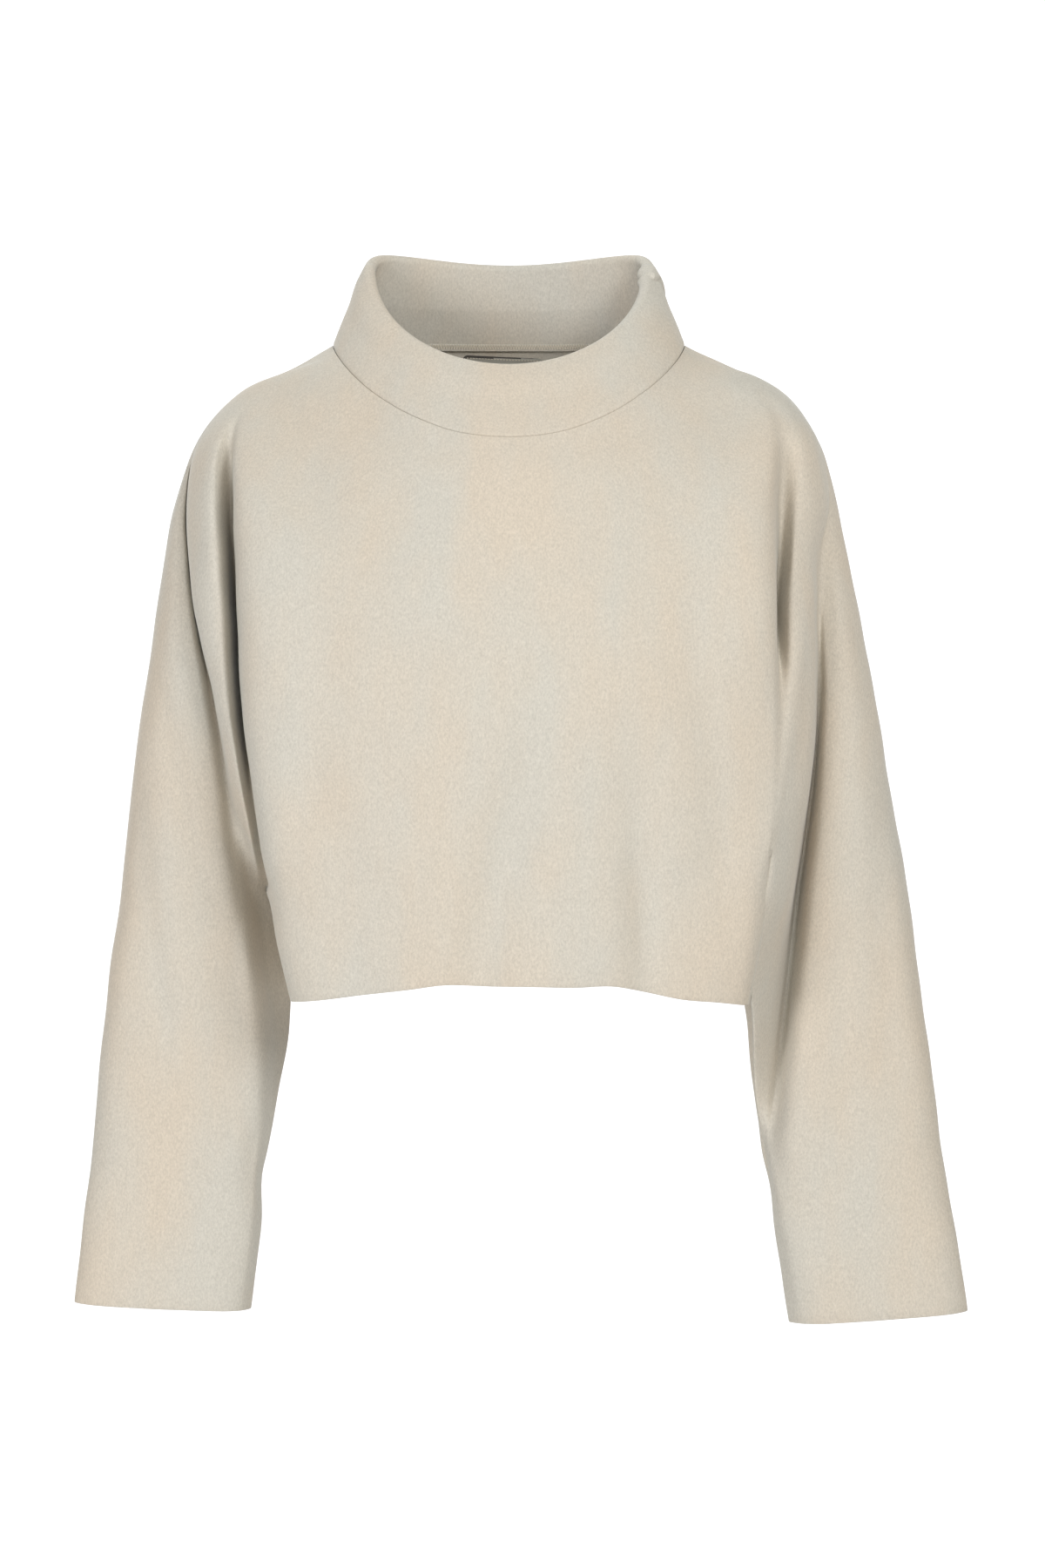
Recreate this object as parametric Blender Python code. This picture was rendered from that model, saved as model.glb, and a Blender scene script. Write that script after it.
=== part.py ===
"""Cropped pullover: a front and a back with the sleeves cut in one, a wide standing collar and a
bare neck label, all as thin cloth walls in the shape they have on a general upright figure.

Sizes below are millimetres. +X is the left hand of the wearer, -Y is the front and
+Z is up. The origin lies midway between the two points where the shoulders meet the collar.
"""

import math

import bmesh
import bpy
import numpy as np

MM = 0.001
WALL = 2.0
SEAM_GAP = 0.3

NECK_CENTRE_X = -3.5
NECK_HALF_WIDTH = 125.5
NECK_SIDE_Z = 2.0
NECK_FRONT_DEPTH = 108.0
NECK_FRONT_DROP = 75.5
NECK_FRONT_CURVE = 1.5
NECK_BACK_DEPTH = 62.0
NECK_BACK_RISE = 3.0

RIM_CENTRE = (-3.4, 10.0)
RIM_HALF_WIDTH = 99.6
RIM_SIDE_Z = 66.7
RIM_FRONT_DEPTH = 84.5
RIM_FRONT_DROP = 86.0
RIM_BACK_DEPTH = 44.5
RIM_BACK_LIFT = 12.0
COLLAR_WALL = 6.0
COLLAR_SWELL = 1.2
# The share of the collar's height at which its lining has drawn away to the full thickness.
COLLAR_FULL_AT = 0.5
COLLAR_ROWS = 4
CREST_COLUMNS = 4

LABEL_WIDTH = 58.0
LABEL_DROP = 32.0
LABEL_BELOW_SEAM = 4.0
LABEL_CENTRE_X = -8.0
LABEL_WALL = 0.8
LABEL_COLUMNS = 9
LABEL_ROWS = 5
YOKE_ROWS = 5

CLOTH_COLOUR = (0.66, 0.61, 0.52)
LABEL_COLOUR = (0.30, 0.29, 0.26)
ROUGHNESS = 0.95
WELD_DECIMALS = 3


def table(columns, *rows):
    """Rows of numbers as one array for each named column."""
    return dict(zip(columns.split(), np.array(rows, float).T))


# One row for each slanted ring round the garment, from the shoulders to the underarm: how high it
# crosses the overarm seam, the body's edge beside the arm, and the middle, and how deep it is there.
RINGS = table(
    "seam_z edge_z centre_z centre_y back_edge_z back_centre_z back_centre_y rows",
    (-15.5, -40, -87, -114, -18, -13, 67, 2),
    (-31, -44, -100, -119, -40, -34, 72, 2),
    (-68, -75, -142, -130, -73, -70, 81, 2),
    (-112, -117, -190, -141, -114, -115, 86, 2),
    (-149, -154, -226, -147, -151, -152, 88, 2),
    (-187, -190, -256, -150, -189, -190, 88, 2),
    (-249, -250, -292, -150, -249, -250, 87, 3),
    (-310, -310, -330, -148, -310, -310, 88, 2),
    (-356, -355, -362, -147, -355, -355, 89, 2),
    (-387, -385, -385, -146, -385, -385, 90, 1),
)

# The body goes on from the underarm to the hem.
BODY = table(
    "left_edge_x right_edge_x edge_y edge_z right_edge_z centre_y centre_z "
    "left_side_x right_side_x side_y side_z back_left_x back_right_x back_edge_y back_edge_z "
    "back_centre_y back_centre_z rows",
    (-162, 164.5, -105, -420, -421, -145, -416, -158, 158, -2, -420, -164, 163, 77, -420, 91, -420, 1),
    (-152, 159.4, -102, -458, -461, -144, -446, -146, 150, -4, -456, -156, 157, 77, -455, 92, -452, 2),
)

# Each quarter of the garment, front and back, left and right: the overarm seam, how deep the
# sleeve is, and the folds between the sleeve and the body. A valley, a ridge with an outer and an
# inner shoulder, a second valley, and the body's edge. The second valley becomes the underarm seam.
FOLDS = "seam_x sleeve_y valley_x valley_y outer_x outer_y inner_x inner_y crease_x crease_y edge_x edge_y"
FRONT_LEFT = table(
    FOLDS,
    (-160, -7, -158, -19, -155, -29, -151, -38, -146, -45, -138, -56),
    (-193, -5, -192, -9, -189.5, -19, -185, -29, -181, -35, -176, -42),
    (-226, -8, -224, -13, -219.5, -33, -206, -50, -199, -52, -193.5, -61),
    (-240, -20, -231, -30, -227.5, -48, -210, -66, -199.5, -52, -192, -86),
    (-247.5, -31, -229, -38, -223.5, -60, -206.5, -73, -197, -45, -189, -97),
    (-253.5, -40, -224, -42, -217.5, -66, -203, -75, -195, -40, -187, -104),
    (-263, -46, -212.5, -44, -206.5, -64, -198, -72, -192, -32, -184, -110),
    (-270.5, -45, -200, -40, -196, -56, -193, -60, -187, -24, -179, -110),
    (-276, -42, -190, -32, -186.5, -44, -183.5, -44, -181, -14, -173.5, -109),
    (-280, -40, -182, -26, -179, -32, -177, -26, -176, 0, -167.5, -107),
)
FRONT_RIGHT = table(
    FOLDS,
    (158, -7, 156, -19, 152, -29, 147, -38, 142, -45, 132, -56),
    (191, -5, 190, -9, 187, -19, 182, -29, 176, -36, 169, -43),
    (217, -7, 216, -11, 211.5, -32, 201, -47, 188, -53, 178, -66),
    (229.5, -22, 220.5, -34, 209, -52, 199, -58, 189.5, -56, 176.5, -88),
    (237, -34, 214, -44, 207.5, -58, 197.5, -62, 188.5, -50, 178.5, -98),
    (244.5, -42, 214.5, -38, 206, -62, 194.5, -68, 185.5, -48, 179, -104),
    (256.8, -44, 215.5, -30, 206.5, -62, 191.5, -78, 184, -66, 177.5, -108),
    (267, -44, 212.5, -26, 203, -56, 187, -74, 180.5, -56, 174, -108),
    (275.5, -42, 207.5, -24, 198.5, -46, 186, -54, 180, -28, 172, -107),
    (280, -40, 203, -22, 196, -36, 184, -34, 171, 0, 168.5, -106),
)
BACK_LEFT = table(
    FOLDS,
    (-160, 5, -158, 13, -155, 19, -150, 26, -146, 31, -137, 38),
    (-193, 5, -192, 8, -189, 16, -184, 25, -180, 31, -174, 36),
    (-226, 7, -223.5, 12, -219, 27, -206, 40, -197, 42, -188, 49),
    (-240, 18, -232, 26, -227, 41, -210, 51, -199, 42, -187, 62),
    (-247.5, 28, -231, 33, -224, 50, -206, 56, -196, 37, -184, 69),
    (-253.5, 37, -226, 37, -219, 54, -203, 58, -194, 32, -181, 73),
    (-263, 43, -216, 38, -209, 54, -199, 57, -191, 27, -178, 76),
    (-270.5, 43, -204, 35, -198, 48, -192, 49, -187, 20, -175, 77),
    (-276, 40, -193, 30, -188, 39, -184, 38, -181, 12, -172, 77),
    (-280, 38, -185, 25, -181, 29, -178, 23, -176, 0, -168, 77),
)
BACK_RIGHT = table(
    FOLDS,
    (158, 5, 156, 13, 152, 19, 147, 26, 142, 31, 132, 38),
    (191, 5, 190, 8, 187, 16, 182, 24, 176, 30, 169, 35),
    (217, 8, 214.5, 13, 209, 28, 199, 39, 189, 42, 180, 48),
    (229.5, 19, 221, 29, 213, 44, 200, 52, 190, 46, 178, 61),
    (237, 29, 222, 36, 213, 51, 198, 58, 189, 42, 176, 68),
    (244.5, 37, 219, 38, 210, 56, 195, 62, 186, 36, 175, 73),
    (256.8, 42, 213, 36, 204, 55, 191, 62, 184, 32, 174, 76),
    (267, 43, 207, 33, 198, 48, 187, 54, 180.5, 24, 172, 77),
    (275.5, 41, 201, 29, 192, 39, 183, 42, 178, 14, 170, 77),
    (280, 38, 196, 25, 187, 30, 179, 27, 171, 0, 168, 77),
)

# The sleeves go on from the underarm to the cuffs, as flattened tubes. A fold runs down the front
# of each between the broad outer part and the flap at the underarm, and dies out near the cuff.
SLEEVE = "seam_x seam_y seam_z sleeve_y back_y valley_x valley_y outer_x outer_y inner_x inner_y "
SLEEVE += "back_valley_y back_outer_y back_inner_y crease_x crease_y crease_z rows"
LEFT_SLEEVE = table(
    SLEEVE,
    (-286, -4, -434, -38, 33, -172, -24, -169, -22, -167, -15, 20, 19, 10, -165.5, -4, -434, 2),
    (-290.5, -8, -483, -37, 28, -177, -26, -172.5, -22, -166.5, -15, 15, 12, 4, -160, -8, -483, 2),
    (-295, -12, -526, -38, 23, -180, -30, -176, -27, -171.5, -20, 11, 8, 0, -167, -12, -526, 2),
    (-299, -15, -568, -39, 17, -183.5, -33, -179.5, -30, -176.5, -23, 7, 4, -5, -174, -15, -569, 2),
    (-300.5, -17, -587, -40, 13, -186, -35, -182, -32, -179.5, -25, 4, 1, -7, -178, -17, -587, 1),
    (-304, -19, -620, -41, 8, -187, -37, -183.5, -34, -180.5, -27, 1, -2, -10, -178.5, -19, -621, 1),
    (-309.5, -22, -675, -43, -1, -194, -38, -190, -34, -187, -28, -6, -10, -16, -185.5, -22, -679.5, 2),
)
RIGHT_SLEEVE = table(
    SLEEVE,
    (286, -4, -434, -38, 33, 196, -20, 191.5, -26, 178.5, -20, 20, 20, 12, 168.5, -4, -434, 2),
    (292.5, -8, -483, -37, 28, 190.5, -20, 186, -24, 175, -18, 15, 14, 4, 165.5, -8, -483, 2),
    (298, -12, -526, -38, 23, 185.5, -24, 182, -26, 175, -20, 11, 8, 0, 169, -12, -526, 2),
    (303.5, -15, -568, -39, 17, 182.5, -29, 179.5, -26, 177.5, -20, 7, 4, -5, 175.5, -15, -569, 2),
    (307, -17, -591, -40, 13, 187.5, -33, 184, -29, 182, -23, 4, 1, -7, 181, -17, -591.5, 1),
    (311, -19, -620, -41, 8, 192, -36, 188.5, -32, 186, -26, 1, -2, -10, 184, -19, -621, 1),
    (320.5, -22, -681, -43, -1, 206.5, -38, 202, -35, 197.5, -29, -6, -10, -16, 194.5, -22, -689, 2),
)

# Soft troughs in the cloth of the front and the back, from the top of each to its foot. Each one
# reaches its full depth at this share of its length.
TROUGH_FULL_AT = 0.67
TROUGHS = table(
    "side top_x top_z foot_x foot_z deep wide",
    (-1, -119, -216, -157, -378, 3.0, 16),
    (-1, 32, -208, -27, -446, 6.0, 22),
    (-1, 82, -260, 92, -446, 3.0, 15),
    (-1, 115, -130, 150, -410, 3.0, 13),
    (1, -70, -190, -96, -440, 4.0, 20),
    (1, 40, -230, 22, -446, 5.0, 24),
    (1, 104, -160, 124, -400, 3.5, 15),
)

# Waves in the front hem: where each is, how far it lifts the edge and how wide it is.
HEM_WAVES = table(
    "x lift wide",
    (-115, -2.6, 40),
    (-47, 1.6, 18),
    (68, 2.6, 19),
    (116, -3.6, 20),
)

# Where the features of a quarter start on the neckline, in degrees round it from its side.
NECK_ANGLES = (0, 3, 7, 12, 16, 21, 26, 31, 40)
CHEST_STEPS = 6
# Points on the sleeve, as shares of the way from the overarm seam to the valley: where it rounds
# over, its middle and the lip of the valley. Where it rounds over it has this share of its depth.
SLEEVE_SHARES = (0.1, 0.5, 0.9)
SLEEVE_ROUND_DEPTH = 0.6
# Mesh columns between one feature and the next: over a sleeve, and over the body.
SLEEVE_COLUMNS = (2, 3, 2, 1, 2, 2, 2)
BODY_COLUMNS = (3, *(2,) * CHEST_STEPS, 3)


def neckline(degrees, side):
    """Point of the collar seam. Side is -1 on the front and 1 on the back."""
    angle = math.radians(degrees)
    across, deep = math.cos(angle), math.sin(angle)
    if side < 0:
        y, z = -NECK_FRONT_DEPTH * deep, NECK_SIDE_Z - NECK_FRONT_DROP * deep**NECK_FRONT_CURVE
    else:
        y, z = NECK_BACK_DEPTH * deep, NECK_SIDE_Z + NECK_BACK_RISE * deep
    return np.array((NECK_CENTRE_X + NECK_HALF_WIDTH * across, y, z))


def over_sleeve(seam, sleeve_y, valley):
    """Three points on the sleeve between the overarm seam and the valley, and these two."""
    seam, valley = np.array(seam, float), np.array(valley, float)
    outward = np.sign(sleeve_y - seam[1])
    lip_y = outward * max(outward * sleeve_y, outward * valley[1])
    round_y = seam[1] + SLEEVE_ROUND_DEPTH * (sleeve_y - seam[1])
    points = [seam]
    for share, y in zip(SLEEVE_SHARES, (round_y, sleeve_y, lip_y)):
        point = seam + (valley - seam) * share
        point[1] = y
        points.append(point)
    return [*points, valley]


def across(left, right, centre_y, centre_z):
    """Points over the chest or the back, from its left edge to its right one."""
    left, right = np.array(left), np.array(right)
    middle = (left + right) / 2
    bulge = np.array((0.0, centre_y - middle[1], centre_z - middle[2]))
    shares = np.linspace(0, 1, CHEST_STEPS + 1)
    return [left + (right - left) * s + bulge * (1 - (2 * s - 1) ** 2) for s in shares]


def neck_features(side):
    """Where the features of one face start, on the neckline: left sleeve, body, right sleeve."""
    turn = 180 - 2 * NECK_ANGLES[-1]
    chest = [180 - NECK_ANGLES[-1] - turn * k / CHEST_STEPS for k in range(CHEST_STEPS + 1)]
    left = [180 - angle for angle in NECK_ANGLES]
    groups = (left[:-1], [left[-2], *chest, NECK_ANGLES[-2]], NECK_ANGLES[:-1])
    return [np.array([neckline(angle, side) for angle in group]) for group in groups]


def ring_features(row, side):
    """Features of one face on a ring above the underarm, grouped in the same way."""
    ring = {name: values[row] for name, values in RINGS.items()}
    prefix, folds = ("", (FRONT_LEFT, FRONT_RIGHT)) if side < 0 else ("back_", (BACK_LEFT, BACK_RIGHT))
    edge_z = ring[prefix + "edge_z"]
    halves = []
    for sizes in folds:
        at = {name: values[row] for name, values in sizes.items()}
        reach = at["edge_x"] - at["seam_x"]
        points = [(at["seam_x"], 0.0, ring["seam_z"])]
        for name in ("valley", "outer", "inner", "crease", "edge"):
            x = at[name + "_x"]
            share = (x - at["seam_x"]) / reach
            points.append((x, at[name + "_y"], ring["seam_z"] + (edge_z - ring["seam_z"]) * share))
        halves.append([*over_sleeve(points[0], at["sleeve_y"], points[1]), *points[2:]])
    left, right = halves
    chest = across(left[-1], right[-1], ring[prefix + "centre_y"], ring[prefix + "centre_z"])
    groups = (left[:-1], [left[-2], *chest, right[-2]], right[:-1])
    return [np.array(group) for group in groups]


def sleeve_features(sizes, row, side):
    at = {name: values[row] for name, values in sizes.items()}
    prefix = "" if side < 0 else "back_"
    seam = (at["seam_x"], at["seam_y"], at["seam_z"])
    reach = at["crease_x"] - at["seam_x"]
    points = []
    for name in ("valley", "outer", "inner"):
        x = at[name + "_x"]
        z = at["seam_z"] + (at["crease_z"] - at["seam_z"]) * (x - at["seam_x"]) / reach
        points.append((x, at[prefix + name + "_y"], z))
    sleeve_y = at["sleeve_y"] if side < 0 else at["back_y"]
    under = (at["crease_x"], at["crease_y"], at["crease_z"])
    return np.array([*over_sleeve(seam, sleeve_y, points[0]), *points[1:], under])


def body_features(row, side):
    at = {name: values[row] for name, values in BODY.items()}
    if side < 0:
        left = (at["left_edge_x"], at["edge_y"], at["edge_z"])
        right = (at["right_edge_x"], at["edge_y"], at["right_edge_z"])
        chest = across(left, right, at["centre_y"], at["centre_z"])
    else:
        left = (at["back_left_x"], at["back_edge_y"], at["back_edge_z"])
        right = (at["back_right_x"], at["back_edge_y"], at["back_edge_z"])
        chest = across(left, right, at["back_centre_y"], at["back_centre_z"])
    sides = [(at[hand + "_side_x"], at["side_y"], at["side_z"]) for hand in ("left", "right")]
    return np.array([sides[0], *chest, sides[1]])


def tangents(points, at):
    """Slopes of a smooth curve through points at the given parameters."""
    steps = np.diff(at).reshape(-1, *[1] * (points.ndim - 1))
    slopes = np.diff(points, axis=0) / steps
    inner = (slopes[:-1] * steps[1:] + slopes[1:] * steps[:-1]) / (steps[1:] + steps[:-1])
    return np.concatenate([slopes[:1], inner, slopes[-1:]])


def along(points, at, wanted):
    """Points of a smooth curve through the given points, at the wanted parameters."""
    slopes = tangents(points, at)
    k = np.clip(np.searchsorted(at, wanted, side="right") - 1, 0, len(at) - 2)
    shape = (-1, *[1] * (points.ndim - 1))
    step = (at[k + 1] - at[k]).reshape(shape)
    t = ((wanted - at[k]) / (at[k + 1] - at[k])).reshape(shape)
    straight = points[k] * (2 * t**3 - 3 * t**2 + 1) + points[k + 1] * (3 * t**2 - 2 * t**3)
    return straight + step * (slopes[k] * (t**3 - 2 * t**2 + t) + slopes[k + 1] * (t**3 - t**2))


def travel(points):
    """Distance along a line of points to each of them."""
    return np.concatenate([[0], np.cumsum(np.linalg.norm(np.diff(points, axis=0), axis=1))])


def spaced(at, counts):
    """Parameters that divide each stretch between two rings into so many mesh rows."""
    stretches = zip(at[:-1], at[1:], counts)
    parts = [np.linspace(a, b, int(n), endpoint=False) for a, b, n in stretches]
    return np.concatenate([*parts, at[-1:]])


def round_loop(front, back, columns):
    """A smooth closed loop through the features of both faces, cut again into its two faces."""
    features = np.array([*front[:-1], *back[:0:-1]])
    columns = [*columns, *columns[::-1]]
    count, wrap = len(features), 3
    padded = features[np.arange(-wrap, count + wrap + 1) % count]
    at = np.concatenate([[0], np.cumsum(np.linalg.norm(np.diff(padded, axis=0), axis=1) ** 0.5)])
    wanted = spaced(at[wrap:count + wrap + 1], columns)
    loop = along(padded, at, wanted)
    half = len(wanted) // 2
    return loop[: half + 1], loop[half:][::-1]


def part_rows(strands, at, wanted, last, ends):
    """Features at the mesh rows. The columns in ends meet in a point at the underarm, where the
    curve above it stops and another one starts."""
    rows = along(strands, at, wanted)
    above = wanted <= at[last]
    for column in ends:
        rows[above, column] = along(strands[: last + 1, column], at[: last + 1], wanted[above])
        rows[~above, column] = along(strands[last:, column], at[last:], wanted[~above])
    return rows


def press_troughs(points, side):
    """Presses the soft troughs of one face into the body, fading out towards its two edges."""
    columns = np.arange(points.shape[1])
    inside = np.clip(np.minimum(columns, columns[::-1]) / BODY_COLUMNS[0] - 1, 0, 1)
    for k in np.flatnonzero(TROUGHS["side"] == side):
        at = {name: values[k] for name, values in TROUGHS.items()}
        down = (at["top_z"] - points[..., 2]) / (at["top_z"] - at["foot_z"])
        middle = at["top_x"] + (at["foot_x"] - at["top_x"]) * down
        grown = np.clip(down / TROUGH_FULL_AT, 0, 1)
        deep = at["deep"] * inside * grown**2 * (3 - 2 * grown)
        points[..., 1] -= side * deep * np.exp(-(((points[..., 0] - middle) / at["wide"]) ** 2))


def wave_hem(points, underarm):
    """Lifts and drops the front hem in soft waves, which die out upwards to the underarm."""
    below = points[underarm:]
    share = np.linspace(0, 1, len(below))[:, None] ** 2
    for x, lift, wide in zip(*HEM_WAVES.values()):
        below[..., 2] += lift * share * np.exp(-(((below[..., 0] - x) / wide) ** 2))


def surface_grids():
    """The garment's outer surface as six grids of points, by face and part. Rows run down from
    the neckline and columns from left to right. Also gives the row of the underarm."""
    rings = range(len(RINGS["rows"]))
    parts = ("left", "body", "right")
    sleeves = {"left": LEFT_SLEEVE, "right": RIGHT_SLEEVE}
    strands = {}
    for side in (-1, 1):
        tops = [neck_features(side), *[ring_features(row, side) for row in rings]]
        for k, part in enumerate(parts):
            if part == "body":
                lower = [body_features(row, side) for row in range(len(BODY["rows"]))]
            else:
                sizes = sleeves[part]
                lower = [sleeve_features(sizes, row, side) for row in range(len(sizes["rows"]))]
            strands[side, part] = np.array([*[top[k] for top in tops], *lower])
    last = len(RINGS["rows"])
    shared = travel(strands[-1, "left"][: last + 1, 0])
    wanted_top = spaced(shared, RINGS["rows"])
    columns = {"left": SLEEVE_COLUMNS, "body": BODY_COLUMNS, "right": SLEEVE_COLUMNS}
    lower_rows = {"left": LEFT_SLEEVE["rows"], "body": BODY["rows"], "right": RIGHT_SLEEVE["rows"]}
    features, grids = {}, {}
    for part in parts:
        lead = 1 if part == "body" else 0
        own = travel(strands[-1, part][last:, lead])
        at = np.concatenate([shared, shared[-1] + own[1:]])
        wanted = np.concatenate([wanted_top[:-1], spaced(at[last:], lower_rows[part])])
        ends = (0, -1) if part == "body" else (-1,)
        for side in (-1, 1):
            features[side, part] = part_rows(strands[side, part], at, wanted, last, ends)
        start = len(wanted_top) - 1
        loops = [
            round_loop(front, back, columns[part])
            for front, back in zip(features[-1, part][start:], features[1, part][start:])
        ]
        for k, side in enumerate((-1, 1)):
            grids[side, part] = np.array([loop[k] for loop in loops])
    whole_columns = (*SLEEVE_COLUMNS, *BODY_COLUMNS, *SLEEVE_COLUMNS[::-1])
    arm, trunk = sum(SLEEVE_COLUMNS), sum(BODY_COLUMNS)
    whole = []
    for row in range(len(wanted_top) - 1):
        faces = [
            [
                *features[side, "left"][row],
                *features[side, "body"][row][1:-1],
                *features[side, "right"][row][::-1],
            ]
            for side in (-1, 1)
        ]
        whole.append(round_loop(*faces, whole_columns))
    for k, side in enumerate((-1, 1)):
        upper = np.array([loop[k] for loop in whole])
        cuts = {"left": (0, arm), "body": (arm, arm + trunk), "right": (arm + trunk, 2 * arm + trunk)}
        for part, (first, final) in cuts.items():
            lower = grids[side, part][:, ::-1] if part == "right" else grids[side, part]
            grids[side, part] = np.concatenate([upper[:, first: final + 1], lower])
        press_troughs(grids[side, "body"], side)
    wave_hem(grids[-1, "body"], len(wanted_top) - 1)
    return grids, len(wanted_top) - 1


def quads(ids, flip):
    """Faces of a grid of vertex numbers."""
    corners = (ids[:-1, :-1], ids[1:, :-1], ids[1:, 1:], ids[:-1, 1:])
    faces = np.stack(corners[::-1] if flip else corners, axis=-1).reshape(-1, 4)
    return faces


def weld(grids):
    """The grids' points without repeats, and each grid's numbers into them."""
    points = np.concatenate([grid.reshape(-1, 3) for grid in grids])
    rounded = np.round(points, WELD_DECIMALS)
    _, first, number = np.unique(rounded, axis=0, return_index=True, return_inverse=True)
    ids, start = [], 0
    for grid in grids:
        size = grid.shape[0] * grid.shape[1]
        ids.append(number.reshape(-1)[start: start + size].reshape(grid.shape[:2]))
        start += size
    return points[first], ids


def normals(points, faces):
    a, b, c, d = (points[faces[:, k]] for k in range(4))
    area = np.cross(c - a, d - b)
    total = np.zeros_like(points)
    for k in range(4):
        np.add.at(total, faces[:, k], area)
    return total / np.linalg.norm(total, axis=1, keepdims=True)


def inner_grids(grids):
    """The same grids one wall further in, square to the whole surface at every point."""
    points, ids = weld(list(grids.values()))
    faces = np.concatenate([quads(n, side > 0) for (side, _), n in zip(grids, ids)])
    inner = points - WALL * normals(points, faces)
    return {name: inner[n] for name, n in zip(grids, ids)}


def part_at_seams(grids, side, underarm):
    """Draws one face's grids back from the other face by half the gap, along all their seams."""
    back = side * SEAM_GAP / 2
    cut = {}
    for part in ("left", "body", "right"):
        grid = grids[side, part].copy()
        if part == "body":
            grid[underarm:, [0, -1], 1] += back
        else:
            seam, under = (0, -1) if part == "left" else (-1, 0)
            grid[:, seam, 1] += back
            grid[underarm:, under, 1] += back
        cut[part] = grid
    cut["body"][underarm, [0, -1]] = cut["left"][underarm, -1], cut["right"][underarm, 0]
    return list(cut.values())


def add_mesh(name, points, faces, colour, collection):
    """A smooth mesh object with its own material, from points in millimetres."""
    mesh = bpy.data.meshes.new(name)
    mesh.from_pydata((points * MM).tolist(), [], faces)
    bm = bmesh.new()
    bm.from_mesh(mesh)
    bmesh.ops.triangulate(bm, faces=bm.faces)
    bm.to_mesh(mesh)
    bm.free()
    mesh.shade_smooth()
    material = bpy.data.materials.new(name)
    material.use_nodes = True
    shader = material.node_tree.nodes["Principled BSDF"]
    shader.inputs["Base Color"].default_value = (*colour, 1)
    shader.inputs["Roughness"].default_value = ROUGHNESS
    shader.inputs["Metallic"].default_value = 0.0
    mesh.materials.append(material)
    obj = bpy.data.objects.new(name, mesh)
    collection.objects.link(obj)
    return obj


def closed_wall(outer, inner, flip):
    """Points and faces of a solid between two equal sets of grids, with a rim along every edge."""
    outer_points, ids = weld(outer)
    count = len(outer_points)
    inner_points = np.zeros_like(outer_points)
    for grid, numbers in zip(inner, ids):
        inner_points[numbers] = grid
    skin = np.concatenate([quads(numbers, flip) for numbers in ids])
    edges = {}
    for face in skin.tolist():
        for a, b in zip(face, face[1:] + face[:1]):
            if edges.pop((b, a), None) is None:
                edges[a, b] = True
    rim = [[b, a, a + count, b + count] for a, b in edges]
    faces = skin.tolist() + (skin[:, ::-1] + count).tolist() + rim
    return np.concatenate([outer_points, inner_points]), faces


def add_panel(name, side, outer, inner, underarm, collection):
    cut_outer = part_at_seams(outer, side, underarm)
    cut_inner = part_at_seams(inner, side, underarm)
    points, faces = closed_wall(cut_outer, cut_inner, side > 0)
    return add_mesh(name, points, faces, CLOTH_COLOUR, collection)


def rim_crest(degrees, side):
    """Point of the crest of the collar's folded top edge."""
    angle = math.radians(degrees)
    deep = math.sin(angle)
    x = RIM_CENTRE[0] + RIM_HALF_WIDTH * math.cos(angle)
    if side < 0:
        return np.array((x, RIM_CENTRE[1] - RIM_FRONT_DEPTH * deep, RIM_SIDE_Z - RIM_FRONT_DROP * deep))
    lift = RIM_BACK_LIFT * deep * math.cos(angle) ** 2
    return np.array((x, RIM_CENTRE[1] + RIM_BACK_DEPTH * deep, RIM_SIDE_Z + lift))


def add_collar(outer, inner, collection):
    """A band folded double: up from the seam, over a round crest and down inside to the seam."""
    radius = COLLAR_WALL / 2
    sections = []
    for side in (-1, 1):
        rows = []
        for grids in (outer, inner):
            left, body, right = (grids[side, part][0] for part in ("left", "body", "right"))
            rows.append(np.concatenate([left, body[1:-1], right])[::-side][:-1])
        for base, lining in zip(*rows):
            share = np.clip((base[0] - NECK_CENTRE_X) / NECK_HALF_WIDTH, -1, 1)
            degrees = math.degrees(math.acos(share))
            crest = rim_crest(degrees, side)
            height = np.linalg.norm(crest - base)
            up = (crest - base) / height
            angle = math.radians(degrees * side)
            round_way = (-NECK_HALF_WIDTH * math.sin(angle), NECK_FRONT_DEPTH * math.cos(angle), 0)
            out = np.cross(round_way, up)
            out /= np.linalg.norm(out)
            skin, backing = [], []
            for k in np.linspace(0, 1, COLLAR_ROWS):
                climb = up * (SEAM_GAP + k * (height - SEAM_GAP - radius))
                climb = climb + out * COLLAR_SWELL * math.sin(math.pi * k)
                extra = (COLLAR_WALL - WALL) * min(1, k / COLLAR_FULL_AT)
                skin.append(base + climb)
                backing.append(lining + (base - out * WALL - lining) * k + climb - out * extra)
            centre = base + up * (height - radius) - out * radius
            turns = np.linspace(0, math.pi, CREST_COLUMNS + 1)[1:-1]
            fold = [centre + radius * (out * math.cos(a) + up * math.sin(a)) for a in turns]
            sections.append([*skin, *fold, *backing[::-1]])
    grid = np.array(sections)
    around, section = grid.shape[:2]
    numbers = np.arange(around * section).reshape(around, section)
    closed = np.concatenate([numbers, numbers[:1]])
    closed = np.concatenate([closed, closed[:, :1]], axis=1)
    faces = quads(closed, False).tolist()
    return add_mesh("collar", grid.reshape(-1, 3), faces, CLOTH_COLOUR, collection)


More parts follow.
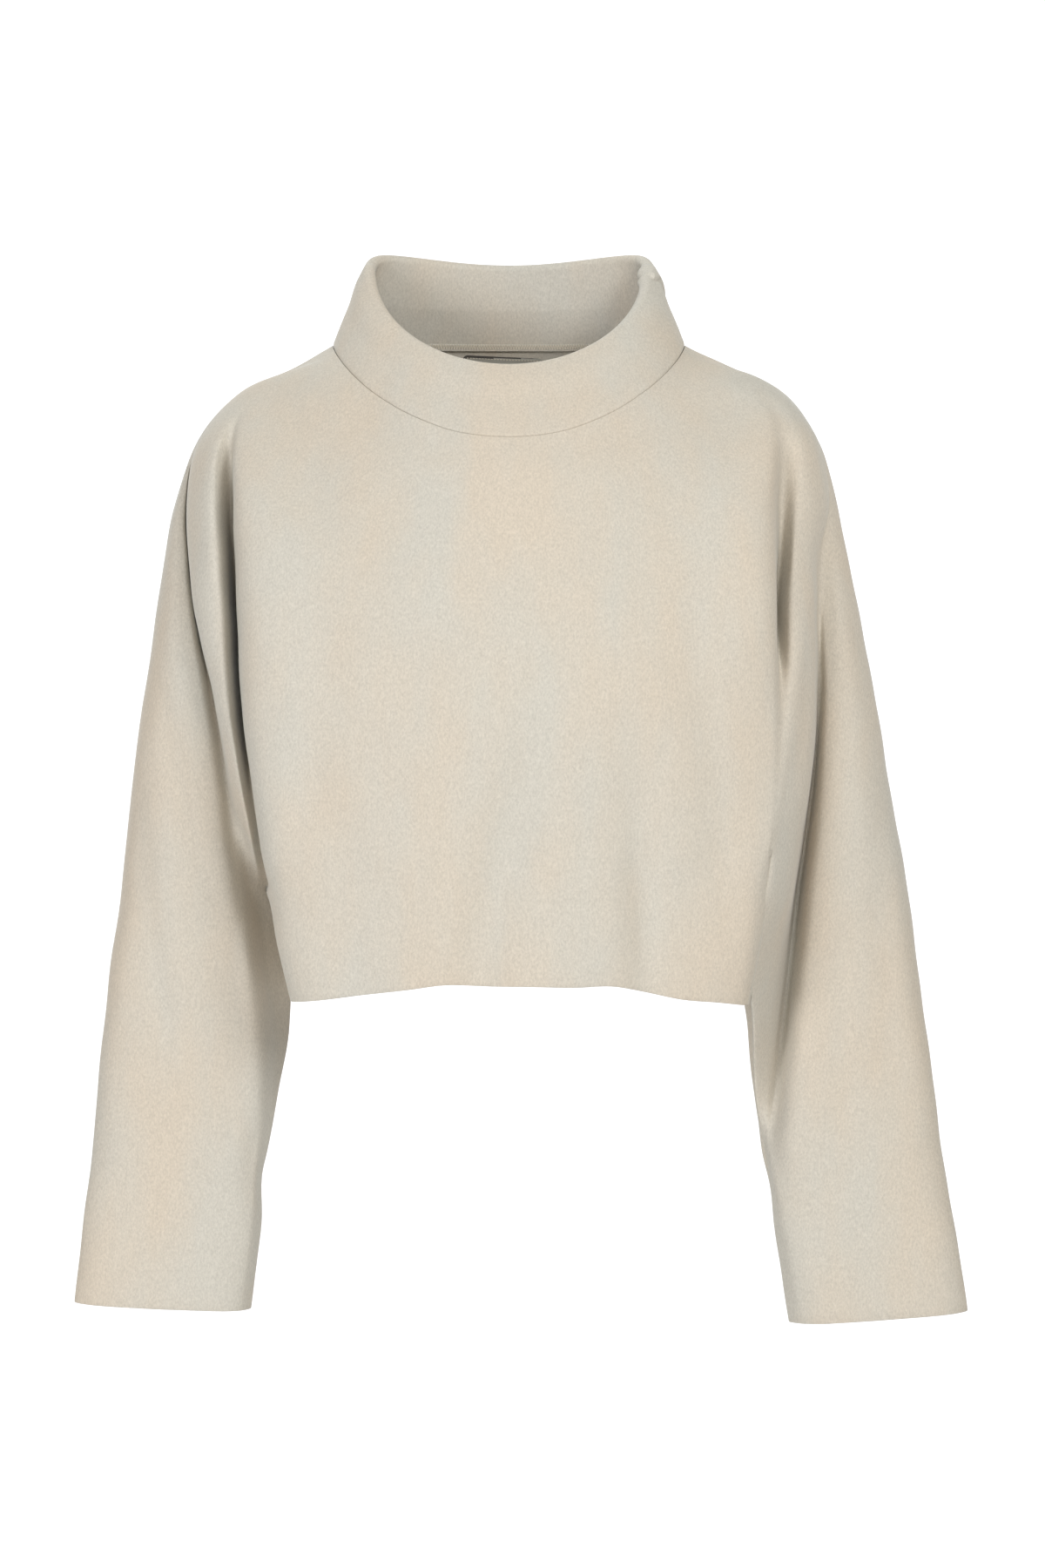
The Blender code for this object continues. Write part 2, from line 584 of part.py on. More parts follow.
def add_label(inner, collection):
    """A bare strip just under the collar seam, on the inside of the back."""
    yoke = inner[1, "body"][:YOKE_ROWS]
    outer, lining = [], []
    for x in np.linspace(-LABEL_WIDTH / 2, LABEL_WIDTH / 2, LABEL_COLUMNS) + LABEL_CENTRE_X:
        line = np.array([[np.interp(x, row[:, 0], row[:, k]) for k in (1, 2)] for row in yoke])
        at = travel(line)
        wanted = np.linspace(LABEL_BELOW_SEAM, LABEL_BELOW_SEAM + LABEL_DROP, LABEL_ROWS)
        down = along(line, at, wanted)
        slope = (line[-1] - line[0]) / np.linalg.norm(line[-1] - line[0])
        inward = np.array((slope[1], -slope[0]))
        outer.append([(x, *(point + inward * SEAM_GAP)) for point in down])
        lining.append([(x, *(point + inward * (SEAM_GAP + LABEL_WALL))) for point in down])
    points, faces = closed_wall([np.array(lining)], [np.array(outer)], True)
    return add_mesh("neck_label", points, faces, LABEL_COLOUR, collection)


def main():
    for obj in list(bpy.data.objects):
        bpy.data.objects.remove(obj)
    collection = bpy.data.collections.new("cropped_pullover")
    bpy.context.scene.collection.children.link(collection)
    outer, underarm = surface_grids()
    inner = inner_grids(outer)
    add_panel("front", -1, outer, inner, underarm, collection)
    add_panel("back", 1, outer, inner, underarm, collection)
    add_collar(outer, inner, collection)
    add_label(inner, collection)


main()
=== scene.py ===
import math

import bpy
import numpy as np
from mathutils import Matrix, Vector


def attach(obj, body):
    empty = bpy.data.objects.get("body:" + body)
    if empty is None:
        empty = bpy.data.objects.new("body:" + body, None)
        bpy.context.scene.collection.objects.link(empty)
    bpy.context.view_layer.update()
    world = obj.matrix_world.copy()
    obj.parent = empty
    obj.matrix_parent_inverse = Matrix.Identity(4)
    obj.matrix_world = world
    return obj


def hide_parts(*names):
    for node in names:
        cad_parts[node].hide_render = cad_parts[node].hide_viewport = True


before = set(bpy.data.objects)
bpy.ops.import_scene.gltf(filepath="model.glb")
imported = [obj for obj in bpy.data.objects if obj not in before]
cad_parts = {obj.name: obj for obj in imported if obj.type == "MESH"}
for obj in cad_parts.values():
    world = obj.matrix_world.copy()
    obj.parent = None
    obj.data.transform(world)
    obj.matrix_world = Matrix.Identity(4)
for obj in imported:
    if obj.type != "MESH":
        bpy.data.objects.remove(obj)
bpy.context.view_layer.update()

# The looks of the cropped pullover. Sizes are millimetres unless a name says otherwise, with +X
# the wearer's left hand, -Y the front and +Z up. The cloth is built from rings and loops as the
# solids are, but from sizes of its own: most are near the solids', and the folds beside the arms
# are laid deeper. DETAIL is how many mesh rows or columns stand for one stretch between two.
MM = 0.001
DETAIL = 5
WALL = 2.0
SEAM_GAP = 0.06
COLLAR_GAP = 0.15
COLLAR_GAP_FRONT = 0.4
RIM_ROUND = 0.7
RIM_TURNS = (0.25, 0.5, 0.75)

NECK_CENTRE_X = -3.5
NECK_HALF_WIDTH = 125.5
NECK_SIDE_Z = 2.0
NECK_FRONT_DEPTH = 108.0
NECK_FRONT_DROP = 75.5
NECK_FRONT_CURVE = 1.5
NECK_BACK_DEPTH = 62.0
NECK_BACK_RISE = 3.0

RIM_CENTRE = (-3.4, 10.0)
RIM_HALF_WIDTH = 99.6
RIM_SIDE_Z = 62.0
RIM_FRONT_DEPTH = 84.5
RIM_FRONT_DROP = 81.3
RIM_CORNER = 0.05
RIM_BACK_DEPTH = 44.5
RIM_BACK_RISE = 4.7
RIM_BACK_ROUND = 0.2
RIM_BACK_LIFT = 12.0
RIM_ROLL = 2.6
RIM_ROLL_FROM = 0.45
RIM_ROLL_TO = 0.85
COLLAR_WALL = 6.0
COLLAR_SWELL = 1.2
COLLAR_FULL_AT = 0.5
COLLAR_ROWS = 56
CREST_COLUMNS = 11

# The tuck at the wearer's left, where the back of the collar laps over its front: its line as
# degrees towards the front and share of the collar's height, and how far each side steps.
TUCK_LINE = ((9, 1.1), (8.2, 1.0), (6.6, 0.93), (3.8, 0.87), (0, 0.79), (-4, 0.69), (-9, 0.54))
TUCK_STEP_UP = 1.9
TUCK_STEP_DOWN = 1.9
TUCK_FADE = 13.0
TUCK_EDGE = 0.7
TUCK_GROOVE = 1.6
TUCK_GROOVE_WIDE = 0.9
TUCK_LOBE = 5.4
TUCK_LOBE_AT = 2.5
TUCK_LOBE_WIDE = 6.0
TUCK_LOBE_FROM = 0.82
TUCK_POINTS = 60
# One degree round the collar and the collar's height, as the tuck's line is measured.
DEGREE = 2.2
COLLAR_HEIGHT = 64.0

ALLOWANCE_ROWS = 6
ALLOWANCE_GAP = 0.12
ALLOWANCE_WALL = 0.9
STITCH_PITCH = 1.9
STITCH_LOW = 1.6
STITCH_HIGH = 5.8
STITCH_POINTS = 4
STITCH_RAISED = 0.6
THREAD = 0.27
THREAD_SIDES = 6
SEAM_GROOVE = 0.6
SEAM_GROOVE_HIGH = 1.5

LABEL_WIDTH = 58.0
LABEL_DROP = 32.0
LABEL_BELOW_SEAM = 2.6
LABEL_SLOPE = 0.045
LABEL_CENTRE_X = -8.0
LABEL_WALL = 0.8
LABEL_CORNER = 3.5
LABEL_EDGE = 0.8
LABEL_STITCH_IN = 1.7
LABEL_STITCH = 1.3
LABEL_STITCH_PITCH = 2.2
LABEL_STITCH_POINTS = 5
LABEL_STITCH_RAISED = 0.5
LABEL_COLUMNS = 85
LABEL_ROWS = 47
LABEL_YOKE_ROWS = 7 * DETAIL

FLOOR_RADIUS = 2.4
FLOOR_Z = -1.45
FLOOR_SIDES = 96
CAMERA_PLACE = (0.0062, -2.64, -0.310)
CAMERA_LENS = 85.16

# Each lamp's name, place, aim, size, power and colour, in metres and watts.
LAMPS = (
    ("left_key", (-1.8, -2.4, -0.3), (0, 0, -0.4), 1.2, 37, (0.98, 0.98, 1)),
    ("right_key", (1.6, -2.4, 1.0), (0, 0, -0.4), 1.2, 36, (1, 0.98, 0.96)),
    ("low_fill", (0.3, -3.0, -1.1), (0, 0, -0.45), 1.6, 19, (1, 0.98, 0.96)),
    ("top", (0.6, -0.9, 1.8), (0, 0, 0), 1.9, 12, (0.92, 0.99, 1)),
    ("back_top", (-0.7, 1.3, 1.7), (0, 0, -0.1), 1.4, 28, (0.96, 0.99, 1)),
)


def table(columns, *rows):
    """Rows of numbers as one array for each named column."""
    return dict(zip(columns.split(), np.array(rows, float).T))


# Slanted rings round the garment, from the shoulders to the underarm.
RINGS = table(
    "seam_z edge_z centre_z centre_y back_edge_z back_centre_z back_centre_y rows",
    (-15.5, -40, -87, -114, -18, -13, 67, 2),
    (-31, -44, -100, -119, -40, -34, 72, 2),
    (-68, -75, -142, -130, -73, -70, 81, 2),
    (-112, -117, -190, -141, -114, -115, 86, 2),
    (-149, -154, -226, -147, -151, -152, 88, 2),
    (-187, -190, -256, -150, -189, -190, 88, 2),
    (-249, -250, -292, -150, -249, -250, 87, 3),
    (-310, -310, -330, -148, -310, -310, 88, 2),
    (-356, -355, -362, -147, -355, -355, 89, 2),
    (-387, -385, -385, -146, -385, -385, 90, 1),
)
BODY = table(
    "left_edge_x right_edge_x edge_y edge_z right_edge_z centre_y centre_z "
    "left_side_x right_side_x side_y side_z back_left_x back_right_x back_edge_y back_edge_z "
    "back_centre_y back_centre_z rows",
    (-158, 165.5, -105, -420, -421, -145, -416, -156, 158, -2, -420, -164, 163, 77, -420, 91, -420, 1),
    (-149.5, 159.4, -102, -458, -461, -144, -446, -144, 150, -4, -456, -156, 157, 77, -455, 92, -452, 2),
)
FOLDS = "seam_x sleeve_y valley_x valley_y outer_x outer_y inner_x inner_y crease_x crease_y edge_x edge_y"
FRONT_LEFT = table(
    FOLDS,
    (-160, -7, -158, -19, -155, -29, -151, -38, -146, -45, -138, -56),
    (-193, -5, -192, -9, -189.5, -19, -185, -29, -181, -35, -176, -42),
    (-226, -8, -224, -13, -219.5, -33, -206, -53, -198.5, -48, -192.5, -62),
    (-240, -26, -231, -20, -227.5, -48, -208.5, -70, -197.5, -46, -189.5, -88),
    (-247.5, -35, -229, -23, -224, -61, -205.5, -80, -195.5, -42, -186.5, -98),
    (-253.5, -44, -224, -28, -218, -74, -201.5, -85, -194, -33, -184.5, -105),
    (-263, -49, -211.5, -37, -207, -75, -197.5, -84, -189.5, -36, -180.5, -111),
    (-270.5, -48, -202, -37, -196, -60, -189, -72, -183, -54, -175, -111),
    (-276, -46, -196, -34, -190, -30, -183, -40, -177, -28, -167, -110),
    (-280, -43, -192, -32, -186, -12, -180, -6, -173.5, -2, -159, -108),
)
FRONT_RIGHT = table(
    FOLDS,
    (158, -7, 156, -19, 152, -29, 147, -38, 142, -45, 132, -56),
    (191, -5, 190, -9, 187, -19, 182, -29, 176, -36, 169, -43),
    (217, -7, 216, -11, 211.5, -32, 201, -47, 188, -53, 178, -66),
    (229.5, -22, 220.5, -34, 209, -54, 197, -62, 187.5, -55, 176, -87),
    (237, -34, 214, -43, 206.5, -64, 193.5, -74, 185.5, -56, 176.5, -98),
    (244.5, -43, 214.5, -43, 206.5, -72, 191.5, -84, 182.5, -63, 176.5, -105),
    (256.8, -48, 214.5, -37, 207, -77, 191, -95, 184, -97, 177, -108),
    (267, -50, 210.5, -30, 202.5, -78, 187, -100, 181.5, -105, 176, -109),
    (275.5, -49, 205, -24, 194.5, -79, 177.5, -104, 175.5, -107, 173.5, -109),
    (280, -47, 201, -19, 190, -76, 171.5, -103, 171, 0, 170.5, -106),
)
BACK_LEFT = table(
    FOLDS,
    (-160, 5, -158, 13, -155, 19, -150, 26, -146, 31, -137, 38),
    (-193, 5, -192, 8, -189, 16, -184, 25, -180, 31, -174, 36),
    (-226, 7, -223.5, 12, -219, 27, -206, 40, -197, 42, -188, 49),
    (-240, 18, -232, 26, -227, 41, -210, 51, -199, 42, -187, 62),
    (-247.5, 28, -231, 33, -224, 50, -206, 56, -196, 37, -184, 69),
    (-253.5, 37, -226, 37, -219, 54, -203, 58, -194, 32, -181, 73),
    (-263, 43, -216, 38, -209, 54, -199, 57, -191, 27, -178, 76),
    (-270.5, 43, -204, 35, -198, 48, -192, 49, -187, 20, -175, 77),
    (-276, 40, -193, 30, -188, 39, -184, 38, -181, 12, -172, 77),
    (-280, 38, -185, 25, -181, 29, -178, 23, -176, 0, -168, 77),
)
BACK_RIGHT = table(
    FOLDS,
    (158, 5, 156, 13, 152, 19, 147, 26, 142, 31, 132, 38),
    (191, 5, 190, 8, 187, 16, 182, 24, 176, 30, 169, 35),
    (217, 8, 214.5, 13, 209, 28, 199, 39, 189, 42, 180, 48),
    (229.5, 19, 221, 29, 213, 44, 200, 52, 190, 46, 178, 61),
    (237, 29, 222, 36, 213, 51, 198, 58, 189, 42, 176, 68),
    (244.5, 37, 219, 38, 210, 56, 195, 62, 186, 36, 175, 73),
    (256.8, 42, 213, 36, 204, 55, 191, 62, 184, 32, 174, 76),
    (267, 43, 207, 33, 198, 48, 187, 54, 180.5, 24, 172, 77),
    (275.5, 41, 201, 29, 192, 39, 183, 42, 178, 14, 170, 77),
    (280, 38, 196, 25, 187, 30, 179, 27, 171, 0, 168, 77),
)
SLEEVE = "seam_x seam_y seam_z sleeve_y back_y valley_x valley_y outer_x outer_y inner_x inner_y "
SLEEVE += "back_valley_y back_outer_y back_inner_y crease_x crease_y crease_z rows"
LEFT_SLEEVE = table(
    SLEEVE,
    (-286, -4, -434, -39, 33, -188, -39, -182, -30, -176.5, -7, 24, 21, 16, -161, 9, -434, 2),
    (-290.5, -8, -483, -38, 28, -182.5, -37, -175.5, -30, -168.5, -9, 20, 17, 12, -160, 7, -483, 2),
    (-295, -12, -526, -38, 23, -180, -35, -175, -29, -170.5, -15, 13, 10, 2, -167, -5, -526, 2),
    (-299, -15, -568, -39, 17, -183.5, -33, -179.5, -30, -176.5, -23, 7, 4, -5, -174, -15, -569, 2),
    (-300.5, -17, -587, -40, 13, -186, -35, -182, -32, -179.5, -25, 4, 1, -7, -178, -17, -587, 1),
    (-304, -19, -620, -41, 8, -187, -37, -183.5, -34, -180.5, -27, 1, -2, -10, -178.5, -19, -621, 1),
    (-309.5, -22, -675, -43, -1, -194, -38, -190, -34, -187, -28, -6, -10, -16, -185.5, -22, -679.5, 2),
)
RIGHT_SLEEVE = table(
    SLEEVE,
    (286, -4, -434, -42, 33, 195.5, -17, 182, -56, 163.5, -86, 20, 20, 12, 170.5, -4, -434, 2),
    (292.5, -8, -483, -40, 28, 190.5, -14, 180, -36, 167.5, -54, 15, 14, 8, 171, -4, -483, 2),
    (298, -12, -526, -39, 23, 185.5, -16, 178.5, -24, 170, -30, 11, 8, 4, 172, -6, -526, 2),
    (303.5, -15, -568, -40, 17, 183, -27, 179.5, -22, 177.5, -14, 7, 4, -5, 175.5, -12, -569, 2),
    (307, -17, -591, -40, 13, 187.5, -33, 184, -29, 182, -23, 4, 1, -7, 181, -17, -591.5, 1),
    (311, -19, -620, -41, 8, 192, -36, 188.5, -32, 186, -26, 1, -2, -10, 184, -19, -621, 1),
    (320.5, -22, -681, -43, -1, 206.5, -38, 202, -35, 197.5, -29, -6, -10, -16, 194.5, -22, -689, 2),
)
TROUGH_FULL_AT = 0.67
TROUGHS = table(
    "side top_x top_z foot_x foot_z deep wide",
    (-1, -119, -216, -157, -378, 5.5, 15),
    (-1, 32, -208, -27, -446, 9.0, 19),
    (-1, 82, -260, 92, -446, 7.0, 14),
    (-1, 115, -130, 150, -410, 5.5, 12),
    (1, -70, -190, -96, -440, 6.5, 18),
    (1, 40, -230, 22, -446, 8.0, 21),
    (1, 104, -160, 124, -400, 5.5, 14),
)
HEM_WAVES = table(
    "x lift wide",
    (-115, -1.4, 40),
    (-47, 1.6, 18),
    (68, 2.6, 19),
    (116, -1.8, 20),
)
NECK_ANGLES = (0, 3, 7, 12, 16, 21, 26, 31, 40)
CHEST_STEPS = 6
SLEEVE_SHARES = (0.1, 0.5, 0.9)
SLEEVE_ROUND_DEPTH = 0.6
CALM_SLOPE = 2.0
LOOP_WRAP = 3
CREASE_POINTS = 40
CREASE_END = 0.06
CREASE_FADE = 0.6
SLEEVE_COLUMNS = DETAIL * np.array((2, 3, 2, 1, 2, 2, 2))
BODY_COLUMNS = DETAIL * np.array((3, *(2,) * CHEST_STEPS, 3))

# A slight unevenness over all the cloth: height, turns along each axis and where each starts.
RIPPLES = (
    (0.36, (0.052, 0.02, 0.031), 0.4),
    (0.3, (-0.071, 0.03, 0.043), 1.9),
    (0.22, (0.105, -0.04, 0.066), 3.1),
    (0.14, (-0.15, 0.05, 0.12), 5.2),
)

# Smaller folds and creases: on which face and part, how deep each is pressed in
# (less than 0 stands out), how wide it is, and the points that it runs through as x and z.
LEFT_DIAGONAL = ((-243, -245), (-240, -278), (-234, -309), (-226, -340), (-218, -371), (-207, -402))
CREASES = (
    (-1, "left", 2.2, 7, LEFT_DIAGONAL),
    (-1, "left", 1.4, 9, ((-262, -330), (-257, -400), (-246, -470), (-240, -530))),
    (-1, "left", -1.2, 12, ((-250, -250), (-252, -330), (-240, -420), (-232, -500))),
    (-1, "right", 1.8, 6, ((210, -190), (206, -226), (204, -248), (200, -280), (193, -311))),
    (-1, "right", 1.2, 10, ((262, -300), (258, -380), (262, -460), (268, -540))),
    (-1, "right", 1.0, 8, ((228, -420), (226, -480), (232, -560))),
    (1, "left", 1.8, 8, ((-246, -230), (-240, -290), (-226, -350))),
    (1, "left", 1.2, 11, ((-262, -340), (-252, -430), (-240, -520))),
    (1, "right", 1.8, 8, ((240, -240), (236, -300), (222, -360))),
    (1, "right", 1.3, 10, ((266, -330), (258, -420), (262, -520))),
)


def ease(share):
    """A share from 0 to 1 that starts and ends gently."""
    return share**2 * (3 - 2 * share)


def mound(distance, wide):
    """1 at no distance, falling softly to 0 past the given width."""
    return np.exp(-((distance / wide) ** 2))


def neckline(degrees, side):
    """Point of the collar seam. Side is -1 on the front and 1 on the back."""
    angle = math.radians(degrees)
    across, deep = math.cos(angle), math.sin(angle)
    if side < 0:
        y, z = -NECK_FRONT_DEPTH * deep, NECK_SIDE_Z - NECK_FRONT_DROP * deep**NECK_FRONT_CURVE
    else:
        y, z = NECK_BACK_DEPTH * deep, NECK_SIDE_Z + NECK_BACK_RISE * deep
    return np.array((NECK_CENTRE_X + NECK_HALF_WIDTH * across, y, z))


def over_sleeve(seam, sleeve_y, valley):
    """Three points on the sleeve between the overarm seam and the valley, and these two."""
    seam, valley = np.array(seam, float), np.array(valley, float)
    outward = np.sign(sleeve_y - seam[1])
    lip_y = outward * max(outward * sleeve_y, outward * (sleeve_y + valley[1]) / 2)
    round_y = seam[1] + SLEEVE_ROUND_DEPTH * (sleeve_y - seam[1])
    points = [seam]
    for share, y in zip(SLEEVE_SHARES, (round_y, sleeve_y, lip_y)):
        point = seam + (valley - seam) * share
        point[1] = y
        points.append(point)
    return [*points, valley]


def across(left, right, centre_y, centre_z):
    """Points over the chest or the back, from its left edge to its right one."""
    left, right = np.array(left), np.array(right)
    middle = (left + right) / 2
    bulge = np.array((0.0, centre_y - middle[1], centre_z - middle[2]))
    shares = np.linspace(0, 1, CHEST_STEPS + 1)
    return [left + (right - left) * s + bulge * (1 - (2 * s - 1) ** 2) for s in shares]


def neck_features(side):
    """Where the features of one face start, on the neckline: left sleeve, body, right sleeve."""
    turn = 180 - 2 * NECK_ANGLES[-1]
    chest = [180 - NECK_ANGLES[-1] - turn * k / CHEST_STEPS for k in range(CHEST_STEPS + 1)]
    left = [180 - angle for angle in NECK_ANGLES]
    groups = (left[:-1], [left[-2], *chest, NECK_ANGLES[-2]], NECK_ANGLES[:-1])
    return [np.array([neckline(angle, side) for angle in group]) for group in groups]


def ring_features(row, side):
    """Features of one face on a ring above the underarm, grouped in the same way."""
    ring = {name: values[row] for name, values in RINGS.items()}
    prefix, folds = ("", (FRONT_LEFT, FRONT_RIGHT)) if side < 0 else ("back_", (BACK_LEFT, BACK_RIGHT))
    edge_z = ring[prefix + "edge_z"]
    halves = []
    for sizes in folds:
        at = {name: values[row] for name, values in sizes.items()}
        reach = at["edge_x"] - at["seam_x"]
        points = [(at["seam_x"], 0.0, ring["seam_z"])]
        for name in ("valley", "outer", "inner", "crease", "edge"):
            x = at[name + "_x"]
            share = (x - at["seam_x"]) / reach
            points.append((x, at[name + "_y"], ring["seam_z"] + (edge_z - ring["seam_z"]) * share))
        halves.append([*over_sleeve(points[0], at["sleeve_y"], points[1]), *points[2:]])
    left, right = halves
    chest = across(left[-1], right[-1], ring[prefix + "centre_y"], ring[prefix + "centre_z"])
    groups = (left[:-1], [left[-2], *chest, right[-2]], right[:-1])
    return [np.array(group) for group in groups]


def sleeve_features(sizes, row, side):
    """Features of one face of a sleeve below the underarm, from the overarm seam inwards."""
    at = {name: values[row] for name, values in sizes.items()}
    prefix = "" if side < 0 else "back_"
    seam = (at["seam_x"], at["seam_y"], at["seam_z"])
    reach = at["crease_x"] - at["seam_x"]
    points = []
    for name in ("valley", "outer", "inner"):
        x = at[name + "_x"]
        z = at["seam_z"] + (at["crease_z"] - at["seam_z"]) * (x - at["seam_x"]) / reach
        points.append((x, at[prefix + name + "_y"], z))
    sleeve_y = at["sleeve_y"] if side < 0 else at["back_y"]
    under = (at["crease_x"], at["crease_y"], at["crease_z"])
    return np.array([*over_sleeve(seam, sleeve_y, points[0]), *points[1:], under])


def body_features(row, side):
    """Features of one face of the body below the underarm, from left to right."""
    at = {name: values[row] for name, values in BODY.items()}
    if side < 0:
        left = (at["left_edge_x"], at["edge_y"], at["edge_z"])
        right = (at["right_edge_x"], at["edge_y"], at["right_edge_z"])
        chest = across(left, right, at["centre_y"], at["centre_z"])
    else:
        left = (at["back_left_x"], at["back_edge_y"], at["back_edge_z"])
        right = (at["back_right_x"], at["back_edge_y"], at["back_edge_z"])
        chest = across(left, right, at["back_centre_y"], at["back_centre_z"])
    sides = [(at[hand + "_side_x"], at["side_y"], at["side_z"]) for hand in ("left", "right")]
    return np.array([sides[0], *chest, sides[1]])


def tangents(points, at, calm):
    """Slopes of a smooth curve through points at the given parameters. A calm curve doesn't
    swing out past its points."""
    steps = np.diff(at).reshape(-1, *[1] * (points.ndim - 1))
    slopes = np.diff(points, axis=0) / steps
    inner = (slopes[:-1] * steps[1:] + slopes[1:] * steps[:-1]) / (steps[1:] + steps[:-1])
    if calm:
        limit = CALM_SLOPE * np.minimum(abs(slopes[:-1]), abs(slopes[1:]))
        limit = limit * (slopes[:-1] * slopes[1:] > 0)
        inner = np.clip(inner, -limit, limit)
    return np.concatenate([slopes[:1], inner, slopes[-1:]])


def along(points, at, wanted, calm=False):
    """Points of a smooth curve through the given points, at the wanted parameters."""
    slopes = tangents(points, at, calm)
    k = np.clip(np.searchsorted(at, wanted, side="right") - 1, 0, len(at) - 2)
    shape = (-1, *[1] * (points.ndim - 1))
    step = (at[k + 1] - at[k]).reshape(shape)
    t = ((wanted - at[k]) / (at[k + 1] - at[k])).reshape(shape)
    straight = points[k] * (2 * t**3 - 3 * t**2 + 1) + points[k + 1] * (3 * t**2 - 2 * t**3)
    return straight + step * (slopes[k] * (t**3 - 2 * t**2 + t) + slopes[k + 1] * (t**3 - t**2))


def travel(points, power=1):
    """Distance along a line of points to each of them, each step raised to a power."""
    steps = np.linalg.norm(np.diff(points, axis=0), axis=1) ** power
    return np.concatenate([[0], np.cumsum(steps)])


def spaced(at, counts):
    """Parameters that divide each stretch between two rings into so many mesh rows."""
    stretches = zip(at[:-1], at[1:], counts)
    parts = [np.linspace(a, b, int(n), endpoint=False) for a, b, n in stretches]
    return np.concatenate([*parts, at[-1:]])


def round_loop(front, back, columns):
    """A smooth closed loop through the features of both faces, cut again into its two faces."""
    features = np.array([*front[:-1], *back[:0:-1]])
    columns = [*columns, *columns[::-1]]
    count = len(features)
    padded = features[np.arange(-LOOP_WRAP, count + LOOP_WRAP + 1) % count]
    at = travel(padded, 0.5)
    wanted = spaced(at[LOOP_WRAP:count + LOOP_WRAP + 1], columns)
    loop = along(padded, at, wanted)
    half = len(wanted) // 2
    return loop[: half + 1], loop[half:][::-1]


def part_rows(strands, at, wanted, last, ends):
    """Features at the mesh rows. The columns in ends meet in a point at the underarm, where the
    curve above it stops and another one starts."""
    rows = along(strands, at, wanted)
    above = wanted <= at[last]
    top = slice(last + 1)
    for column in ends:
        rows[above, column] = along(strands[top, column], at[top], wanted[above], calm=True)
        rows[~above, column] = along(strands[last:, column], at[last:], wanted[~above])
    return rows


def press_troughs(points, side):
    """Presses the soft troughs of one face into the body, fading out towards its two edges."""
    columns = np.arange(points.shape[1])
    inside = np.clip(np.minimum(columns, columns[::-1]) / BODY_COLUMNS[0] - 1, 0, 1)
    for k in np.flatnonzero(TROUGHS["side"] == side):
        at = {name: values[k] for name, values in TROUGHS.items()}
        down = (at["top_z"] - points[..., 2]) / (at["top_z"] - at["foot_z"])
        middle = at["top_x"] + (at["foot_x"] - at["top_x"]) * down
        deep = at["deep"] * inside * ease(np.clip(down / TROUGH_FULL_AT, 0, 1))
        points[..., 1] -= side * deep * mound(points[..., 0] - middle, at["wide"])


def wave_hem(points, underarm):
    """Lifts and drops the front hem in soft waves, which die out upwards to the underarm."""
    below = points[underarm:]
    share = np.linspace(0, 1, len(below))[:, None] ** 2
    for x, lift, wide in zip(*HEM_WAVES.values()):
        below[..., 2] += lift * share * mound(below[..., 0] - x, wide)


def surface_grids():
    """The garment's outer surface as six grids of points, by face and part. Rows run down from
    the neckline and columns from left to right. Also gives the row of the underarm."""
    rings = range(len(RINGS["rows"]))
    parts = ("left", "body", "right")
    sleeves = {"left": LEFT_SLEEVE, "right": RIGHT_SLEEVE}
    strands = {}
    for side in (-1, 1):
        tops = [neck_features(side), *[ring_features(row, side) for row in rings]]
        for k, part in enumerate(parts):
            if part == "body":
                lower = [body_features(row, side) for row in range(len(BODY["rows"]))]
            else:
                sizes = sleeves[part]
                lower = [sleeve_features(sizes, row, side) for row in range(len(sizes["rows"]))]
            strands[side, part] = np.array([*[top[k] for top in tops], *lower])
    last = len(RINGS["rows"])
    shared = travel(strands[-1, "left"][: last + 1, 0])
    wanted_top = spaced(shared, DETAIL * RINGS["rows"])
    columns = {"left": SLEEVE_COLUMNS, "body": BODY_COLUMNS, "right": SLEEVE_COLUMNS}
    lower_rows = {"left": LEFT_SLEEVE["rows"], "body": BODY["rows"], "right": RIGHT_SLEEVE["rows"]}
    features, grids = {}, {}
    for part in parts:
        lead = 1 if part == "body" else 0
        own = travel(strands[-1, part][last:, lead])
        at = np.concatenate([shared, shared[-1] + own[1:]])
        wanted = np.concatenate([wanted_top[:-1], spaced(at[last:], DETAIL * lower_rows[part])])
        ends = (0, -1) if part == "body" else (-1,)
        for side in (-1, 1):
            features[side, part] = part_rows(strands[side, part], at, wanted, last, ends)
        start = len(wanted_top) - 1
        loops = [
            round_loop(front, back, columns[part])
            for front, back in zip(features[-1, part][start:], features[1, part][start:])
        ]
        for k, side in enumerate((-1, 1)):
            grids[side, part] = np.array([loop[k] for loop in loops])
    whole_columns = (*SLEEVE_COLUMNS, *BODY_COLUMNS, *SLEEVE_COLUMNS[::-1])
    arm, trunk = sum(SLEEVE_COLUMNS), sum(BODY_COLUMNS)
    whole = []
    for row in range(len(wanted_top) - 1):
        faces = [
            [
                *features[side, "left"][row],
                *features[side, "body"][row][1:-1],
                *features[side, "right"][row][::-1],
            ]
            for side in (-1, 1)
        ]
        whole.append(round_loop(*faces, whole_columns))
    for k, side in enumerate((-1, 1)):
        upper = np.array([loop[k] for loop in whole])
        cuts = {"left": (0, arm), "body": (arm, arm + trunk), "right": (arm + trunk, 2 * arm + trunk)}
        for part, (first, final) in cuts.items():
            lower = grids[side, part][:, ::-1] if part == "right" else grids[side, part]
            grids[side, part] = np.concatenate([upper[:, first: final + 1], lower])
        press_troughs(grids[side, "body"], side)
    wave_hem(grids[-1, "body"], len(wanted_top) - 1)
    return grids, len(wanted_top) - 1


def quads(ids, flip):
    """Faces of a grid of vertex numbers."""
    corners = (ids[:-1, :-1], ids[1:, :-1], ids[1:, 1:], ids[:-1, 1:])
    return np.stack(corners[::-1] if flip else corners, axis=-1).reshape(-1, 4)


